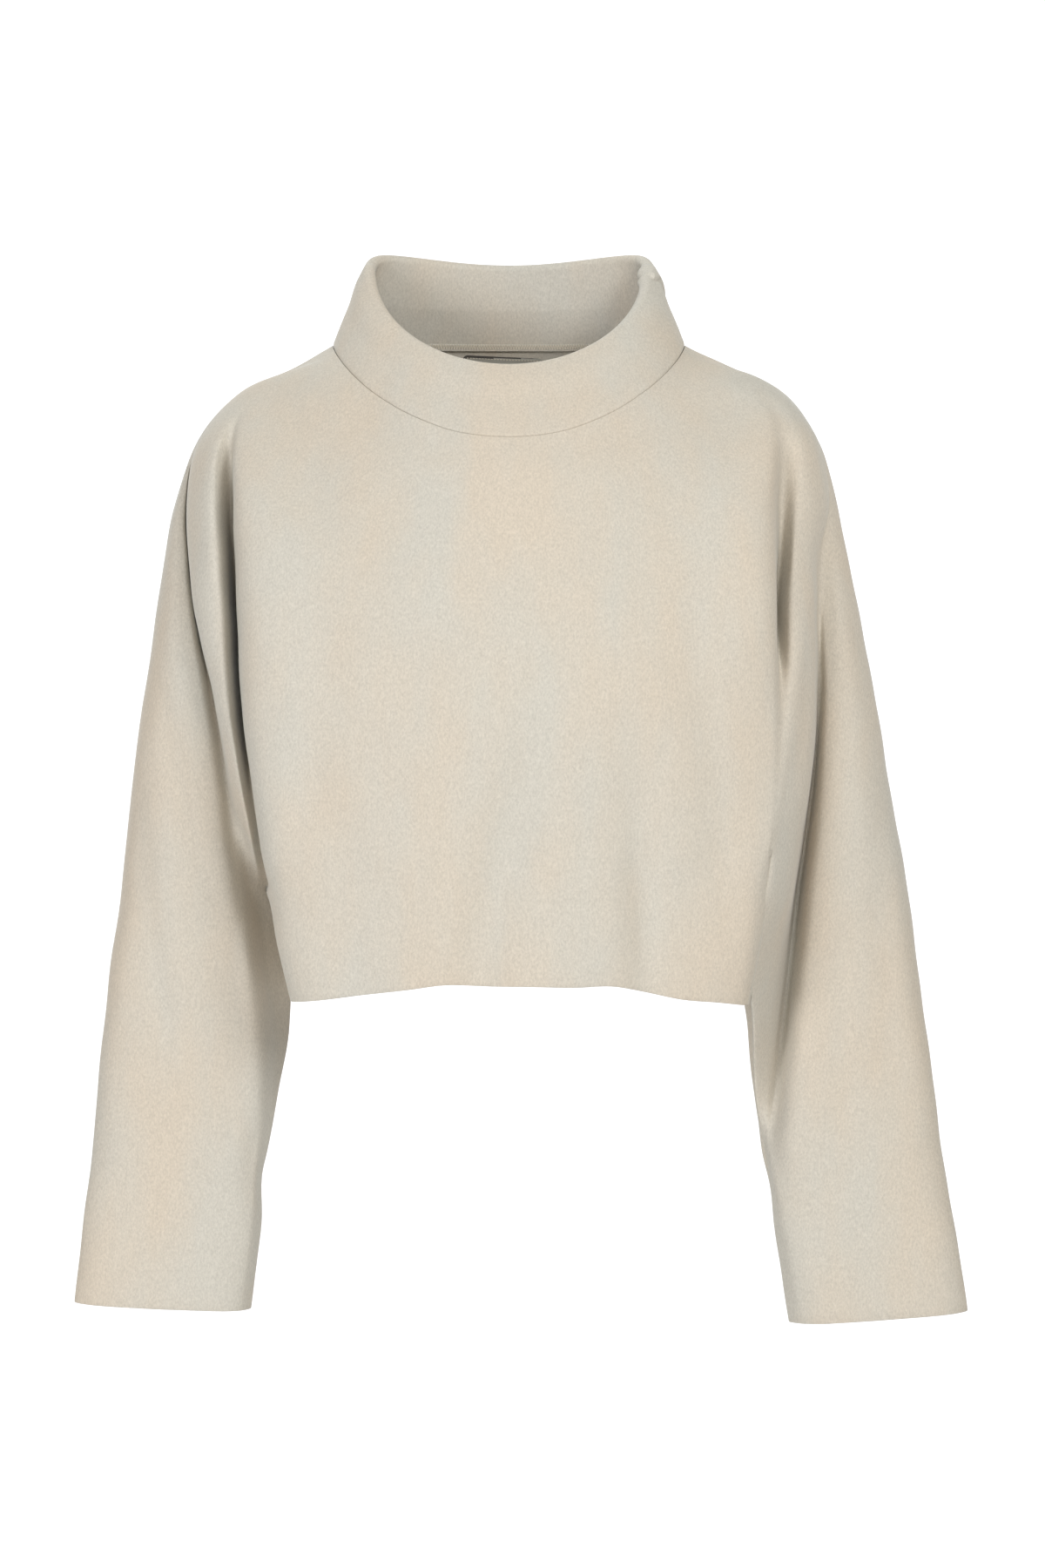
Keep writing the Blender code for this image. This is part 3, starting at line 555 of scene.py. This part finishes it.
def weld(grids):
    """The grids' points without repeats, and each grid's numbers into them."""
    points = np.concatenate([grid.reshape(-1, 3) for grid in grids])
    _, first, number = np.unique(np.round(points, 3), axis=0, return_index=True, return_inverse=True)
    ids, start = [], 0
    for grid in grids:
        size = grid.shape[0] * grid.shape[1]
        ids.append(number.reshape(-1)[start: start + size].reshape(grid.shape[:2]))
        start += size
    return points[first], ids


def normals(points, faces):
    """Unit normals at the points, from four-cornered faces weighted by their areas."""
    a, b, c, d = (points[faces[:, k]] for k in range(4))
    area = np.cross(c - a, d - b)
    total = np.zeros_like(points)
    for k in range(4):
        np.add.at(total, faces[:, k], area)
    return total / np.linalg.norm(total, axis=1, keepdims=True)


def grid_normals(grids):
    """Unit normals of the whole surface, on the same grids."""
    points, ids = weld(list(grids.values()))
    faces = np.concatenate([quads(n, side > 0) for (side, _), n in zip(grids, ids)])
    out = normals(points, faces)
    return {name: out[n] for name, n in zip(grids, ids)}


def line_depth(x, z, line, wide):
    """How deep a soft crease along a line of x and z is, from 0 to 1, fading out at its ends."""
    line = np.array(line, float)
    at = travel(line)
    fine = along(line, at, np.linspace(0, at[-1], CREASE_POINTS))
    share = np.linspace(CREASE_END, 1 - CREASE_END, CREASE_POINTS)
    gap = np.hypot(x[..., None] - fine[:, 0], z[..., None] - fine[:, 1])
    near = gap.argmin(axis=-1)
    return mound(gap.min(axis=-1), wide) * np.sin(math.pi * share[near]) ** CREASE_FADE


def press_creases(grids):
    """Presses the smaller creases in, square to the cloth."""
    out = grid_normals(grids)
    for side, part, deep, wide, line in CREASES:
        points = grids[side, part]
        columns = np.arange(points.shape[1])
        inside = np.clip(np.minimum(columns, columns[::-1]) / (2 * DETAIL), 0, 1)
        depth = deep * inside * line_depth(points[..., 0], points[..., 2], line, wide)
        grids[side, part] = points - out[side, part] * depth[..., None]


def ripple(grids):
    """Moves all the cloth in and out a little, as soft as a brushed knit."""
    out = grid_normals(grids)
    for key, points in grids.items():
        height = sum(a * np.sin(points @ np.array(k) + start) for a, k, start in RIPPLES)
        grids[key] = points + out[key] * height[..., None]


def part_at_seams(grids, side, underarm):
    """Draws one face's grids back from the other face by half the gap, along all their seams."""
    back = side * SEAM_GAP / 2
    cut = {}
    for part in ("left", "body", "right"):
        grid = grids[side, part].copy()
        if part == "body":
            grid[underarm:, [0, -1], 1] += back
        else:
            seam, under = (0, -1) if part == "left" else (-1, 0)
            grid[:, seam, 1] += back
            grid[underarm:, under, 1] += back
        cut[part] = grid
    cut["body"][underarm, [0, -1]] = cut["left"][underarm, -1], cut["right"][underarm, 0]
    return list(cut.values())


def closed_wall(outer, inner, flip, sewn):
    """Points, faces and hard edges of a shell between two equal sets of grids. Its rim is round,
    except that where sewn is true it is round along the last rows alone and square elsewhere."""
    outer_points, ids = weld(outer)
    count = len(outer_points)
    loose = np.full(count, not sewn)
    for numbers in ids:
        loose[numbers[-1]] = True
    inner_points = np.zeros_like(outer_points)
    for grid, numbers in zip(inner, ids):
        inner_points[numbers] = grid
    skin = np.concatenate([quads(numbers, flip) for numbers in ids])
    edges = {}
    for face in skin.tolist():
        for a, b in zip(face, face[1:] + face[:1]):
            if edges.pop((b, a), None) is None:
                edges[a, b] = True
    middle = (outer_points + inner_points) / 2
    half = (outer_points - inner_points) / 2
    outward = np.zeros_like(middle)
    for a, b in edges:
        step = middle[b] - middle[a]
        side_way = np.cross(step, half[a])
        outward[a] += side_way
        outward[b] += side_way
    lengths = np.linalg.norm(outward, axis=1, keepdims=True)
    outward = outward / np.where(lengths > 0, lengths, 1)
    thick = np.linalg.norm(half, axis=1, keepdims=True) * RIM_ROUND * loose[:, None]
    points = [outer_points, inner_points]
    rings = [0]
    for turn in RIM_TURNS:
        angle = math.pi * turn
        bulge = middle + half * math.cos(angle) + outward * thick * math.sin(angle)
        points.append(bulge)
        rings.append(count * len(points) - count)
    rings.append(count)
    rim = []
    for near, far in zip(rings, rings[1:]):
        rim += [[b + near, a + near, a + far, b + far] for a, b in edges]
    sewn_edges = [(a, b) for a, b in edges if not (loose[a] and loose[b])]
    hard = [(a + ring, b + ring) for a, b in sewn_edges for ring in (0, count)]
    faces = skin.tolist() + (skin[:, ::-1] + count).tolist() + rim
    points = np.concatenate(points)
    used = np.unique(np.array(faces))
    renumber = np.zeros(len(points), int)
    renumber[used] = np.arange(len(used))
    return points[used], renumber[np.array(faces)], renumber[np.array(hard, int).reshape(-1, 2)]


def add_mesh(name, points, faces, material, hard=()):
    """A smooth piece of the pullover that rides on its body, with hard edges where it is sewn."""
    mesh = bpy.data.meshes.new(name)
    mesh.from_pydata((np.asarray(points) * MM).tolist(), [], np.asarray(faces).tolist())
    mesh.shade_smooth()
    if len(hard):
        ends = np.zeros(2 * len(mesh.edges), int)
        mesh.edges.foreach_get("vertices", ends)
        keys = np.sort(ends.reshape(-1, 2), axis=1) @ (len(points), 1)
        sharp = np.isin(keys, np.sort(np.asarray(hard), axis=1) @ (len(points), 1))
        mesh.attributes.new("sharp_edge", "BOOLEAN", "EDGE").data.foreach_set("value", sharp)
    mesh.materials.append(material)
    piece = bpy.data.objects.new(name, mesh)
    bpy.context.scene.collection.objects.link(piece)
    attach(piece, "root")
    return piece


def rim_crest(degrees, side):
    """Point of the crest of the collar's folded top edge."""
    angle = math.radians(degrees)
    deep = math.sin(angle)
    x = RIM_CENTRE[0] + RIM_HALF_WIDTH * math.cos(angle)
    if side < 0:
        deepest = math.hypot(1, RIM_CORNER) - RIM_CORNER
        drop = RIM_FRONT_DROP * (math.hypot(deep, RIM_CORNER) - RIM_CORNER) / deepest
        return np.array((x, RIM_CENTRE[1] - RIM_FRONT_DEPTH * deep, RIM_SIDE_Z - drop))
    lift = RIM_BACK_LIFT * deep * math.cos(angle) ** 2
    lift += RIM_BACK_RISE * (1 - mound(deep, RIM_BACK_ROUND))
    return np.array((x, RIM_CENTRE[1] + RIM_BACK_DEPTH * deep, RIM_SIDE_Z + lift))


def tuck_push(forward, shares):
    """How far the tuck moves the collar out, at an angle towards the front and shares of its
    height, and how far it moves the rim in."""
    line = np.array(TUCK_LINE) * (DEGREE, COLLAR_HEIGHT)
    at = travel(line)
    fine = along(line, at, np.linspace(0, at[-1], TUCK_POINTS))
    heading = np.gradient(fine, axis=0)
    places = np.stack([np.full(len(shares), forward * DEGREE), shares * COLLAR_HEIGHT], axis=1)
    away = places[:, None] - fine
    gaps = np.hypot(away[..., 0], away[..., 1])
    near = gaps.argmin(axis=1)
    row = np.arange(len(shares))
    gap = gaps[row, near]
    turn = heading[near, 0] * away[row, near, 1] - heading[near, 1] * away[row, near, 0]
    side_way = np.tanh(np.sign(turn) * gap / TUCK_EDGE)
    step = np.where(side_way < 0, -side_way * TUCK_STEP_UP, -side_way * TUCK_STEP_DOWN)
    step -= TUCK_GROOVE * mound(gap, TUCK_GROOVE_WIDE)
    fade = np.exp(-gap / TUCK_FADE) * (1 - near / (TUCK_POINTS - 1)) ** 0.5
    lobe = TUCK_LOBE * mound(forward - TUCK_LOBE_AT, TUCK_LOBE_WIDE)
    return step * fade, lobe * np.clip((shares - TUCK_LOBE_FROM) / (1 - TUCK_LOBE_FROM), 0, 1) ** 2


def collar_grid(outer, inner):
    """The collar's closed skin, one section for each point round the seam."""
    radius = (COLLAR_WALL + RIM_ROLL) / 2
    shares = np.linspace(0, 1, COLLAR_ROWS)
    roll = RIM_ROLL * ease(np.clip((shares - RIM_ROLL_FROM) / (RIM_ROLL_TO - RIM_ROLL_FROM), 0, 1))
    sections = []
    for side in (-1, 1):
        rows = []
        for grids in (outer, inner):
            left, body, right = (grids[side, part][0] for part in ("left", "body", "right"))
            rows.append(np.concatenate([left, body[1:-1], right])[::-side][:-1])
        for base, lining in zip(*rows):
            share = np.clip((base[0] - NECK_CENTRE_X) / NECK_HALF_WIDTH, -1, 1)
            degrees = math.degrees(math.acos(share))
            crest = rim_crest(degrees, side)
            height = np.linalg.norm(crest - base)
            up = (crest - base) / height
            angle = math.radians(degrees * side)
            round_way = (-NECK_HALF_WIDTH * math.sin(angle), NECK_FRONT_DEPTH * math.cos(angle), 0)
            out = np.cross(round_way, up)
            out /= np.linalg.norm(out)
            push, lobe = tuck_push(-side * degrees, shares)
            gap = COLLAR_GAP + COLLAR_GAP_FRONT * max(0, -math.sin(angle)) ** 4
            skin, backing = [], []
            for k, pushed, rolled, rounded in zip(shares, push, lobe, roll):
                climb = up * (gap + k * (height - gap - radius))
                groove = SEAM_GROOVE * mound(k * height, SEAM_GROOVE_HIGH)
                climb = climb + out * (COLLAR_SWELL * math.sin(math.pi * k) + pushed - groove)
                extra = (COLLAR_WALL - WALL) * min(1, k / COLLAR_FULL_AT) + rolled
                skin.append(base + climb + out * rounded)
                backing.append(lining + (base - out * WALL - lining) * k + climb - out * extra)
            centre = base + up * (height - radius) + out * (push[-1] + RIM_ROLL - radius)
            fold = []
            for turn in np.linspace(0, math.pi, CREST_COLUMNS + 1)[1:-1]:
                outward = radius * math.cos(turn) - lobe[-1] * turn / math.pi
                fold.append(centre + out * outward + up * radius * math.sin(turn))
            sections.append([*skin, *fold, *backing[::-1]])
    return np.array(sections)


def add_collar(grid, material):
    """The collar as one closed piece."""
    around, section = grid.shape[:2]
    numbers = np.arange(around * section).reshape(around, section)
    closed = np.concatenate([numbers, numbers[:1]])
    closed = np.concatenate([closed, closed[:, :1]], axis=1)
    return add_mesh("collar_cloth", grid.reshape(-1, 3), quads(closed, False), material)


def threads(lines, lift_ways):
    """Points and faces of round threads along lines of points, each with the way it stands out
    of the cloth at its points. Each thread has six sides, and two quads close each of its ends."""
    points, faces = [], []
    for line, lift in zip(lines, lift_ways):
        along_way = np.gradient(line, axis=0)
        across_way = np.cross(along_way, lift)
        across_way /= np.linalg.norm(across_way, axis=1, keepdims=True)
        start = sum(len(part) for part in points)
        turns = 2 * math.pi * np.arange(THREAD_SIDES) / THREAD_SIDES
        ring = np.cos(turns)[:, None] * across_way[:, None] + np.sin(turns)[:, None] * lift[:, None]
        points.append((line[:, None] + THREAD * ring).reshape(-1, 3))
        ids = start + np.arange(len(line) * THREAD_SIDES).reshape(-1, THREAD_SIDES)
        faces += quads(np.concatenate([ids, ids[:, :1]], axis=1), True).tolist()
        for cap in (ids[0], ids[-1][::-1]):
            faces += [[cap[0], cap[1], cap[2], cap[3]], [cap[0], cap[3], cap[4], cap[5]]]
    return np.concatenate(points), faces


def add_allowance(collar, cloth, thread):
    """The seam allowance folded up on the inside of the collar, and its zigzag stitches."""
    ring = np.concatenate([collar, collar[:1]])
    lining = ring[:, ::-1][:, :ALLOWANCE_ROWS]
    skin = ring[:, :ALLOWANCE_ROWS]
    inward = (lining - skin) / np.linalg.norm(lining - skin, axis=2, keepdims=True)
    under = lining + inward * ALLOWANCE_GAP
    over = lining + inward * (ALLOWANCE_GAP + ALLOWANCE_WALL)
    strip = [[grid.transpose(1, 0, 2)] for grid in (over, under)]
    points, faces, _ = closed_wall(*strip, True, False)
    band = add_mesh("neck_allowance", points, faces, cloth)
    distance = travel(over[:, 0])
    heights = np.linspace(0, 1, ALLOWANCE_ROWS) * np.linalg.norm(over[0, -1] - over[0, 0])
    count = int(distance[-1] / STITCH_PITCH)
    turns = np.arange(2 * count + 1)
    stops = np.linspace(0, distance[-1], len(turns))
    levels = np.where(turns % 2, STITCH_HIGH, STITCH_LOW)
    fine = np.linspace(0, 2 * count, 2 * count * STITCH_POINTS + 1)
    s, h = np.interp(fine, turns, stops), np.interp(fine, turns, levels)
    path, lift = [], []
    for grid, kept in ((over + inward * THREAD * STITCH_RAISED, path), (inward, lift)):
        lines = grid.transpose(1, 2, 0)
        at = np.array([[np.interp(s, distance, values) for values in line] for line in lines])
        row = np.clip(np.searchsorted(heights, h) - 1, 0, ALLOWANCE_ROWS - 2)
        share = np.clip((h - heights[row]) / (heights[row + 1] - heights[row]), 0, 1.1)
        here = np.arange(len(s))
        kept.append((at[row, :, here].T * (1 - share) + at[row + 1, :, here].T * share).T)
    points, faces = threads(path, lift)
    return [band, add_mesh("neck_stitches", points, faces, thread)]


def node(tree, kind, **values):
    """A shader node with its sockets and settings set by name."""
    made = tree.nodes.new(kind)
    for name, value in values.items():
        socket = made.inputs.get(name.replace("_", " "))
        if socket is None:
            setattr(made, name, value)
        else:
            socket.default_value = value
    return made


def cloth_material():
    """A brushed, slightly felted knit: soft mottling, a fine short nap and a pale sheen."""
    material = bpy.data.materials.new("brushed_knit")
    material.use_nodes = True
    tree = material.node_tree
    link = tree.links.new
    shader = tree.nodes["Principled BSDF"]
    shader.inputs["Roughness"].default_value = 0.95
    shader.inputs["Specular IOR Level"].default_value = 0.15
    shader.inputs["Sheen Weight"].default_value = 0.32
    shader.inputs["Sheen Roughness"].default_value = 0.3
    shader.inputs["Sheen Tint"].default_value = (0.92, 0.98, 1.0, 1)
    place = node(tree, "ShaderNodeTexCoord").outputs["Object"]
    upright = node(tree, "ShaderNodeMapping")
    upright.inputs["Scale"].default_value = (1.0, 1.0, 0.3)
    link(place, upright.inputs["Vector"])
    patches = node(tree, "ShaderNodeTexNoise", Scale=17.0, Detail=3.0, Roughness=0.5)
    link(upright.outputs["Vector"], patches.inputs["Vector"])
    tone = node(tree, "ShaderNodeValToRGB")
    tone.color_ramp.elements[0].position = 0.36
    tone.color_ramp.elements[0].color = (0.598, 0.537, 0.45, 1)
    tone.color_ramp.elements[1].position = 0.64
    tone.color_ramp.elements[1].color = (0.567, 0.547, 0.489, 1)
    link(patches.outputs["Fac"], tone.inputs["Fac"])
    stretch = node(tree, "ShaderNodeMapping")
    stretch.inputs["Scale"].default_value = (1.0, 1.0, 0.55)
    link(place, stretch.inputs["Vector"])
    nap = node(tree, "ShaderNodeTexNoise", Scale=850.0, Detail=3.0, Roughness=0.65)
    link(stretch.outputs["Vector"], nap.inputs["Vector"])
    shade = node(tree, "ShaderNodeMapRange", From_Min=0.3, From_Max=0.7, To_Min=0.86, To_Max=1.09)
    link(nap.outputs["Fac"], shade.inputs["Value"])
    mix = node(tree, "ShaderNodeMix", data_type="RGBA", blend_type="MULTIPLY")
    mix.inputs["Factor"].default_value = 1.0
    link(tone.outputs["Color"], mix.inputs["A"])
    grey = node(tree, "ShaderNodeCombineColor")
    for channel in ("Red", "Green", "Blue"):
        link(shade.outputs["Result"], grey.inputs[channel])
    link(grey.outputs["Color"], mix.inputs["B"])
    link(mix.outputs["Result"], shader.inputs["Base Color"])
    pills = node(tree, "ShaderNodeTexNoise", Scale=190.0, Detail=2.0)
    link(place, pills.inputs["Vector"])
    low = node(tree, "ShaderNodeBump", Strength=0.06, Distance=0.0006)
    link(pills.outputs["Fac"], low.inputs["Height"])
    fine = node(tree, "ShaderNodeBump", Strength=0.45, Distance=0.0004)
    link(nap.outputs["Fac"], fine.inputs["Height"])
    link(low.outputs["Normal"], fine.inputs["Normal"])
    link(fine.outputs["Normal"], shader.inputs["Normal"])
    return material


def plain_material(name, colour, roughness):
    """A matte material of one colour with a fine grain."""
    material = bpy.data.materials.new(name)
    material.use_nodes = True
    tree = material.node_tree
    shader = tree.nodes["Principled BSDF"]
    shader.inputs["Roughness"].default_value = roughness
    place = node(tree, "ShaderNodeTexCoord").outputs["Object"]
    noise = node(tree, "ShaderNodeTexNoise", Scale=1400.0, Detail=2.0)
    tree.links.new(place, noise.inputs["Vector"])
    tone = node(tree, "ShaderNodeValToRGB")
    tone.color_ramp.elements[0].color = (*(0.85 * c for c in colour), 1)
    tone.color_ramp.elements[1].color = (*(1.1 * c for c in colour), 1)
    tree.links.new(noise.outputs["Fac"], tone.inputs["Fac"])
    tree.links.new(tone.outputs["Color"], shader.inputs["Base Color"])
    return material


def yoke_points(yoke, x, down, raised):
    """Points on the inside of the back, at this x and distances below the collar seam."""
    line = np.array([[np.interp(x, row[:, 0], row[:, k]) for k in (1, 2)] for row in yoke])
    slope = (line[-1] - line[0]) / np.linalg.norm(line[-1] - line[0])
    inward = np.array((slope[1], -slope[0]))
    at = along(line, travel(line), np.atleast_1d(down)) + inward * raised
    return [(x, *point) for point in at], (0, *inward)


def add_label(inner, materials, thread):
    """A bare strip just under the collar seam, on the inside of the back. Its corners are round,
    its edge is dark and rows of short stitches run along its top and bottom."""
    yoke = inner[1, "body"][:LABEL_YOKE_ROWS]
    half_width, half_drop = LABEL_WIDTH / 2, LABEL_DROP / 2
    places_x = np.linspace(-half_width, half_width, LABEL_COLUMNS)
    grid_x, grid_z = np.meshgrid(places_x, np.linspace(-half_drop, half_drop, LABEL_ROWS))
    out_x = np.clip((abs(grid_x) - half_width + LABEL_CORNER) / LABEL_CORNER, 0, 1)
    out_z = np.clip((abs(grid_z) - half_drop + LABEL_CORNER) / LABEL_CORNER, 0, 1)
    draw_x = LABEL_CORNER * out_x * (1 - np.sqrt(1 - out_z**2 / 2)) * np.sign(grid_x)
    draw_z = LABEL_CORNER * out_z * (1 - np.sqrt(1 - out_x**2 / 2)) * np.sign(grid_z)
    across_x, down_z = grid_x - draw_x, grid_z - draw_z

    def lay(x, z, raised):
        down = LABEL_BELOW_SEAM + half_drop + z + LABEL_SLOPE * (x + half_width)
        return yoke_points(yoke, x + LABEL_CENTRE_X, down, raised)

    sheets = []
    for raised in (SEAM_GAP + LABEL_WALL, SEAM_GAP):
        rows = []
        for x, z in zip(across_x.ravel(), down_z.ravel()):
            rows += lay(x, z, raised)[0]
        sheets.append([np.array(rows).reshape(*grid_x.shape, 3)])
    points, faces, _ = closed_wall(*sheets, False, False)
    label = add_mesh("label_tape", points, faces, materials[0])
    label.data.materials.append(materials[1])
    top_z, *_, low_z = sheets[0][0][:, LABEL_COLUMNS // 2, 2]
    for polygon in label.data.polygons:
        centre = polygon.center / MM
        near_side = half_width - abs(centre.x - LABEL_CENTRE_X)
        fall = (top_z - centre.z) / (top_z - low_z)
        near_end = LABEL_DROP * min(fall, 1 - fall)
        polygon.material_index = int(min(near_side, near_end) < LABEL_EDGE)
    lines, lifts = [], []
    reach_x, reach_z = half_width - LABEL_STITCH_IN, half_drop - LABEL_STITCH_IN
    for z in (-reach_z, reach_z):
        for start in np.arange(-reach_x + 1, reach_x - LABEL_STITCH, LABEL_STITCH_PITCH):
            stitch = []
            for x in np.linspace(start, start + LABEL_STITCH, LABEL_STITCH_POINTS):
                at, lift = lay(x, z, SEAM_GAP + LABEL_WALL + THREAD * LABEL_STITCH_RAISED)
                stitch += at
            lines.append(np.array(stitch))
            lifts.append(np.tile(lift, (LABEL_STITCH_POINTS, 1)))
    points, faces = threads(lines, lifts)
    add_mesh("label_stitches", points, faces, thread)
    return label


def area_light(name, place, aim, size, energy, colour):
    """A round soft lamp that points from its place to its aim."""
    light = bpy.data.lights.new(name, "AREA")
    light.shape = "DISK"
    light.size = size
    light.energy = energy
    light.color = colour
    lamp = bpy.data.objects.new(name, light)
    lamp.location = place
    lamp.rotation_euler = (Vector(aim) - Vector(place)).to_track_quat("-Z", "Y").to_euler()
    bpy.context.scene.collection.objects.link(lamp)


def studio():
    """A pale floor, soft lamps and the camera, which looks level from the front. The room is dim
    and warm in front and bright and cool behind, and white wherever the camera sees it."""
    scene = bpy.context.scene
    scene.view_settings.view_transform = "Standard"
    world = bpy.data.worlds.new("studio")
    world.use_nodes = True
    tree = world.node_tree
    background = tree.nodes["Background"]
    lean = node(tree, "ShaderNodeVectorMath", operation="DOT_PRODUCT")
    lean.inputs[1].default_value = (0, 0.8, -0.6)
    tree.links.new(node(tree, "ShaderNodeTexCoord").outputs["Generated"], lean.inputs[0])
    room = node(tree, "ShaderNodeMapRange", From_Min=0.0, From_Max=0.6, To_Min=0.3, To_Max=1.2)
    tree.links.new(lean.outputs["Value"], room.inputs["Value"])
    in_view = node(tree, "ShaderNodeLightPath").outputs["Is Camera Ray"]
    seen = node(tree, "ShaderNodeMath", operation="MAXIMUM")
    tree.links.new(room.outputs["Result"], seen.inputs[0])
    tree.links.new(in_view, seen.inputs[1])
    tree.links.new(seen.outputs["Value"], background.inputs["Strength"])
    warmth = node(tree, "ShaderNodeMix", data_type="RGBA", A=(1, 0.92, 0.82, 1), B=(0.97, 1, 1.04, 1))
    behind = node(tree, "ShaderNodeMapRange", From_Min=0.0, From_Max=0.6)
    tree.links.new(lean.outputs["Value"], behind.inputs["Value"])
    tree.links.new(behind.outputs["Result"], warmth.inputs["Factor"])
    white = node(tree, "ShaderNodeMix", data_type="RGBA", B=(1, 1, 1, 1))
    tree.links.new(in_view, white.inputs["Factor"])
    tree.links.new(warmth.outputs["Result"], white.inputs["A"])
    tree.links.new(white.outputs["Result"], background.inputs["Color"])
    scene.world = world
    for lamp in LAMPS:
        area_light(*lamp)
    floor_mesh = bpy.data.meshes.new("floor")
    turns = np.linspace(0, 2 * math.pi, FLOOR_SIDES + 1)[:-1]
    ring = [(FLOOR_RADIUS * math.cos(a), FLOOR_RADIUS * math.sin(a), FLOOR_Z) for a in turns]
    floor_mesh.from_pydata(ring, [], [list(range(FLOOR_SIDES))])
    floor_mesh.materials.append(plain_material("pale_floor", (0.8, 0.8, 0.79), 0.9))
    floor = bpy.data.objects.new("floor", floor_mesh)
    scene.collection.objects.link(floor)
    camera_data = bpy.data.cameras.new("camera")
    camera_data.lens = CAMERA_LENS
    camera_data.sensor_width = 36
    camera = bpy.data.objects.new("camera", camera_data)
    camera.location = CAMERA_PLACE
    camera.rotation_euler = (math.radians(90), 0, 0)
    scene.collection.objects.link(camera)
    scene.camera = camera


def main():
    """Builds every piece, hides the solids that the pieces take the place of, and sets up the studio."""
    outer, underarm = surface_grids()
    press_creases(outer)
    ripple(outer)
    out = grid_normals(outer)
    inner = {key: points - WALL * out[key] for key, points in outer.items()}
    cloth = cloth_material()
    tape = plain_material("label_tape", (0.4, 0.39, 0.35), 0.8)
    tape_edge = plain_material("label_edge", (0.07, 0.066, 0.06), 0.8)
    thread = plain_material("thread", (0.74, 0.68, 0.57), 0.8)
    for name, side in (("front", -1), ("back", 1)):
        shells = [part_at_seams(grids, side, underarm) for grids in (outer, inner)]
        points, faces, hard = closed_wall(*shells, side > 0, True)
        panel = add_mesh(name + "_cloth", points, faces, cloth, hard)
        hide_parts(name)
    collar_skin = collar_grid(outer, inner)
    collar = add_collar(collar_skin, cloth)
    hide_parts("collar")
    edging = add_allowance(collar_skin, cloth, thread)
    label = add_label(inner, (tape, tape_edge), thread)
    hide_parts("neck_label")
    studio()


main()
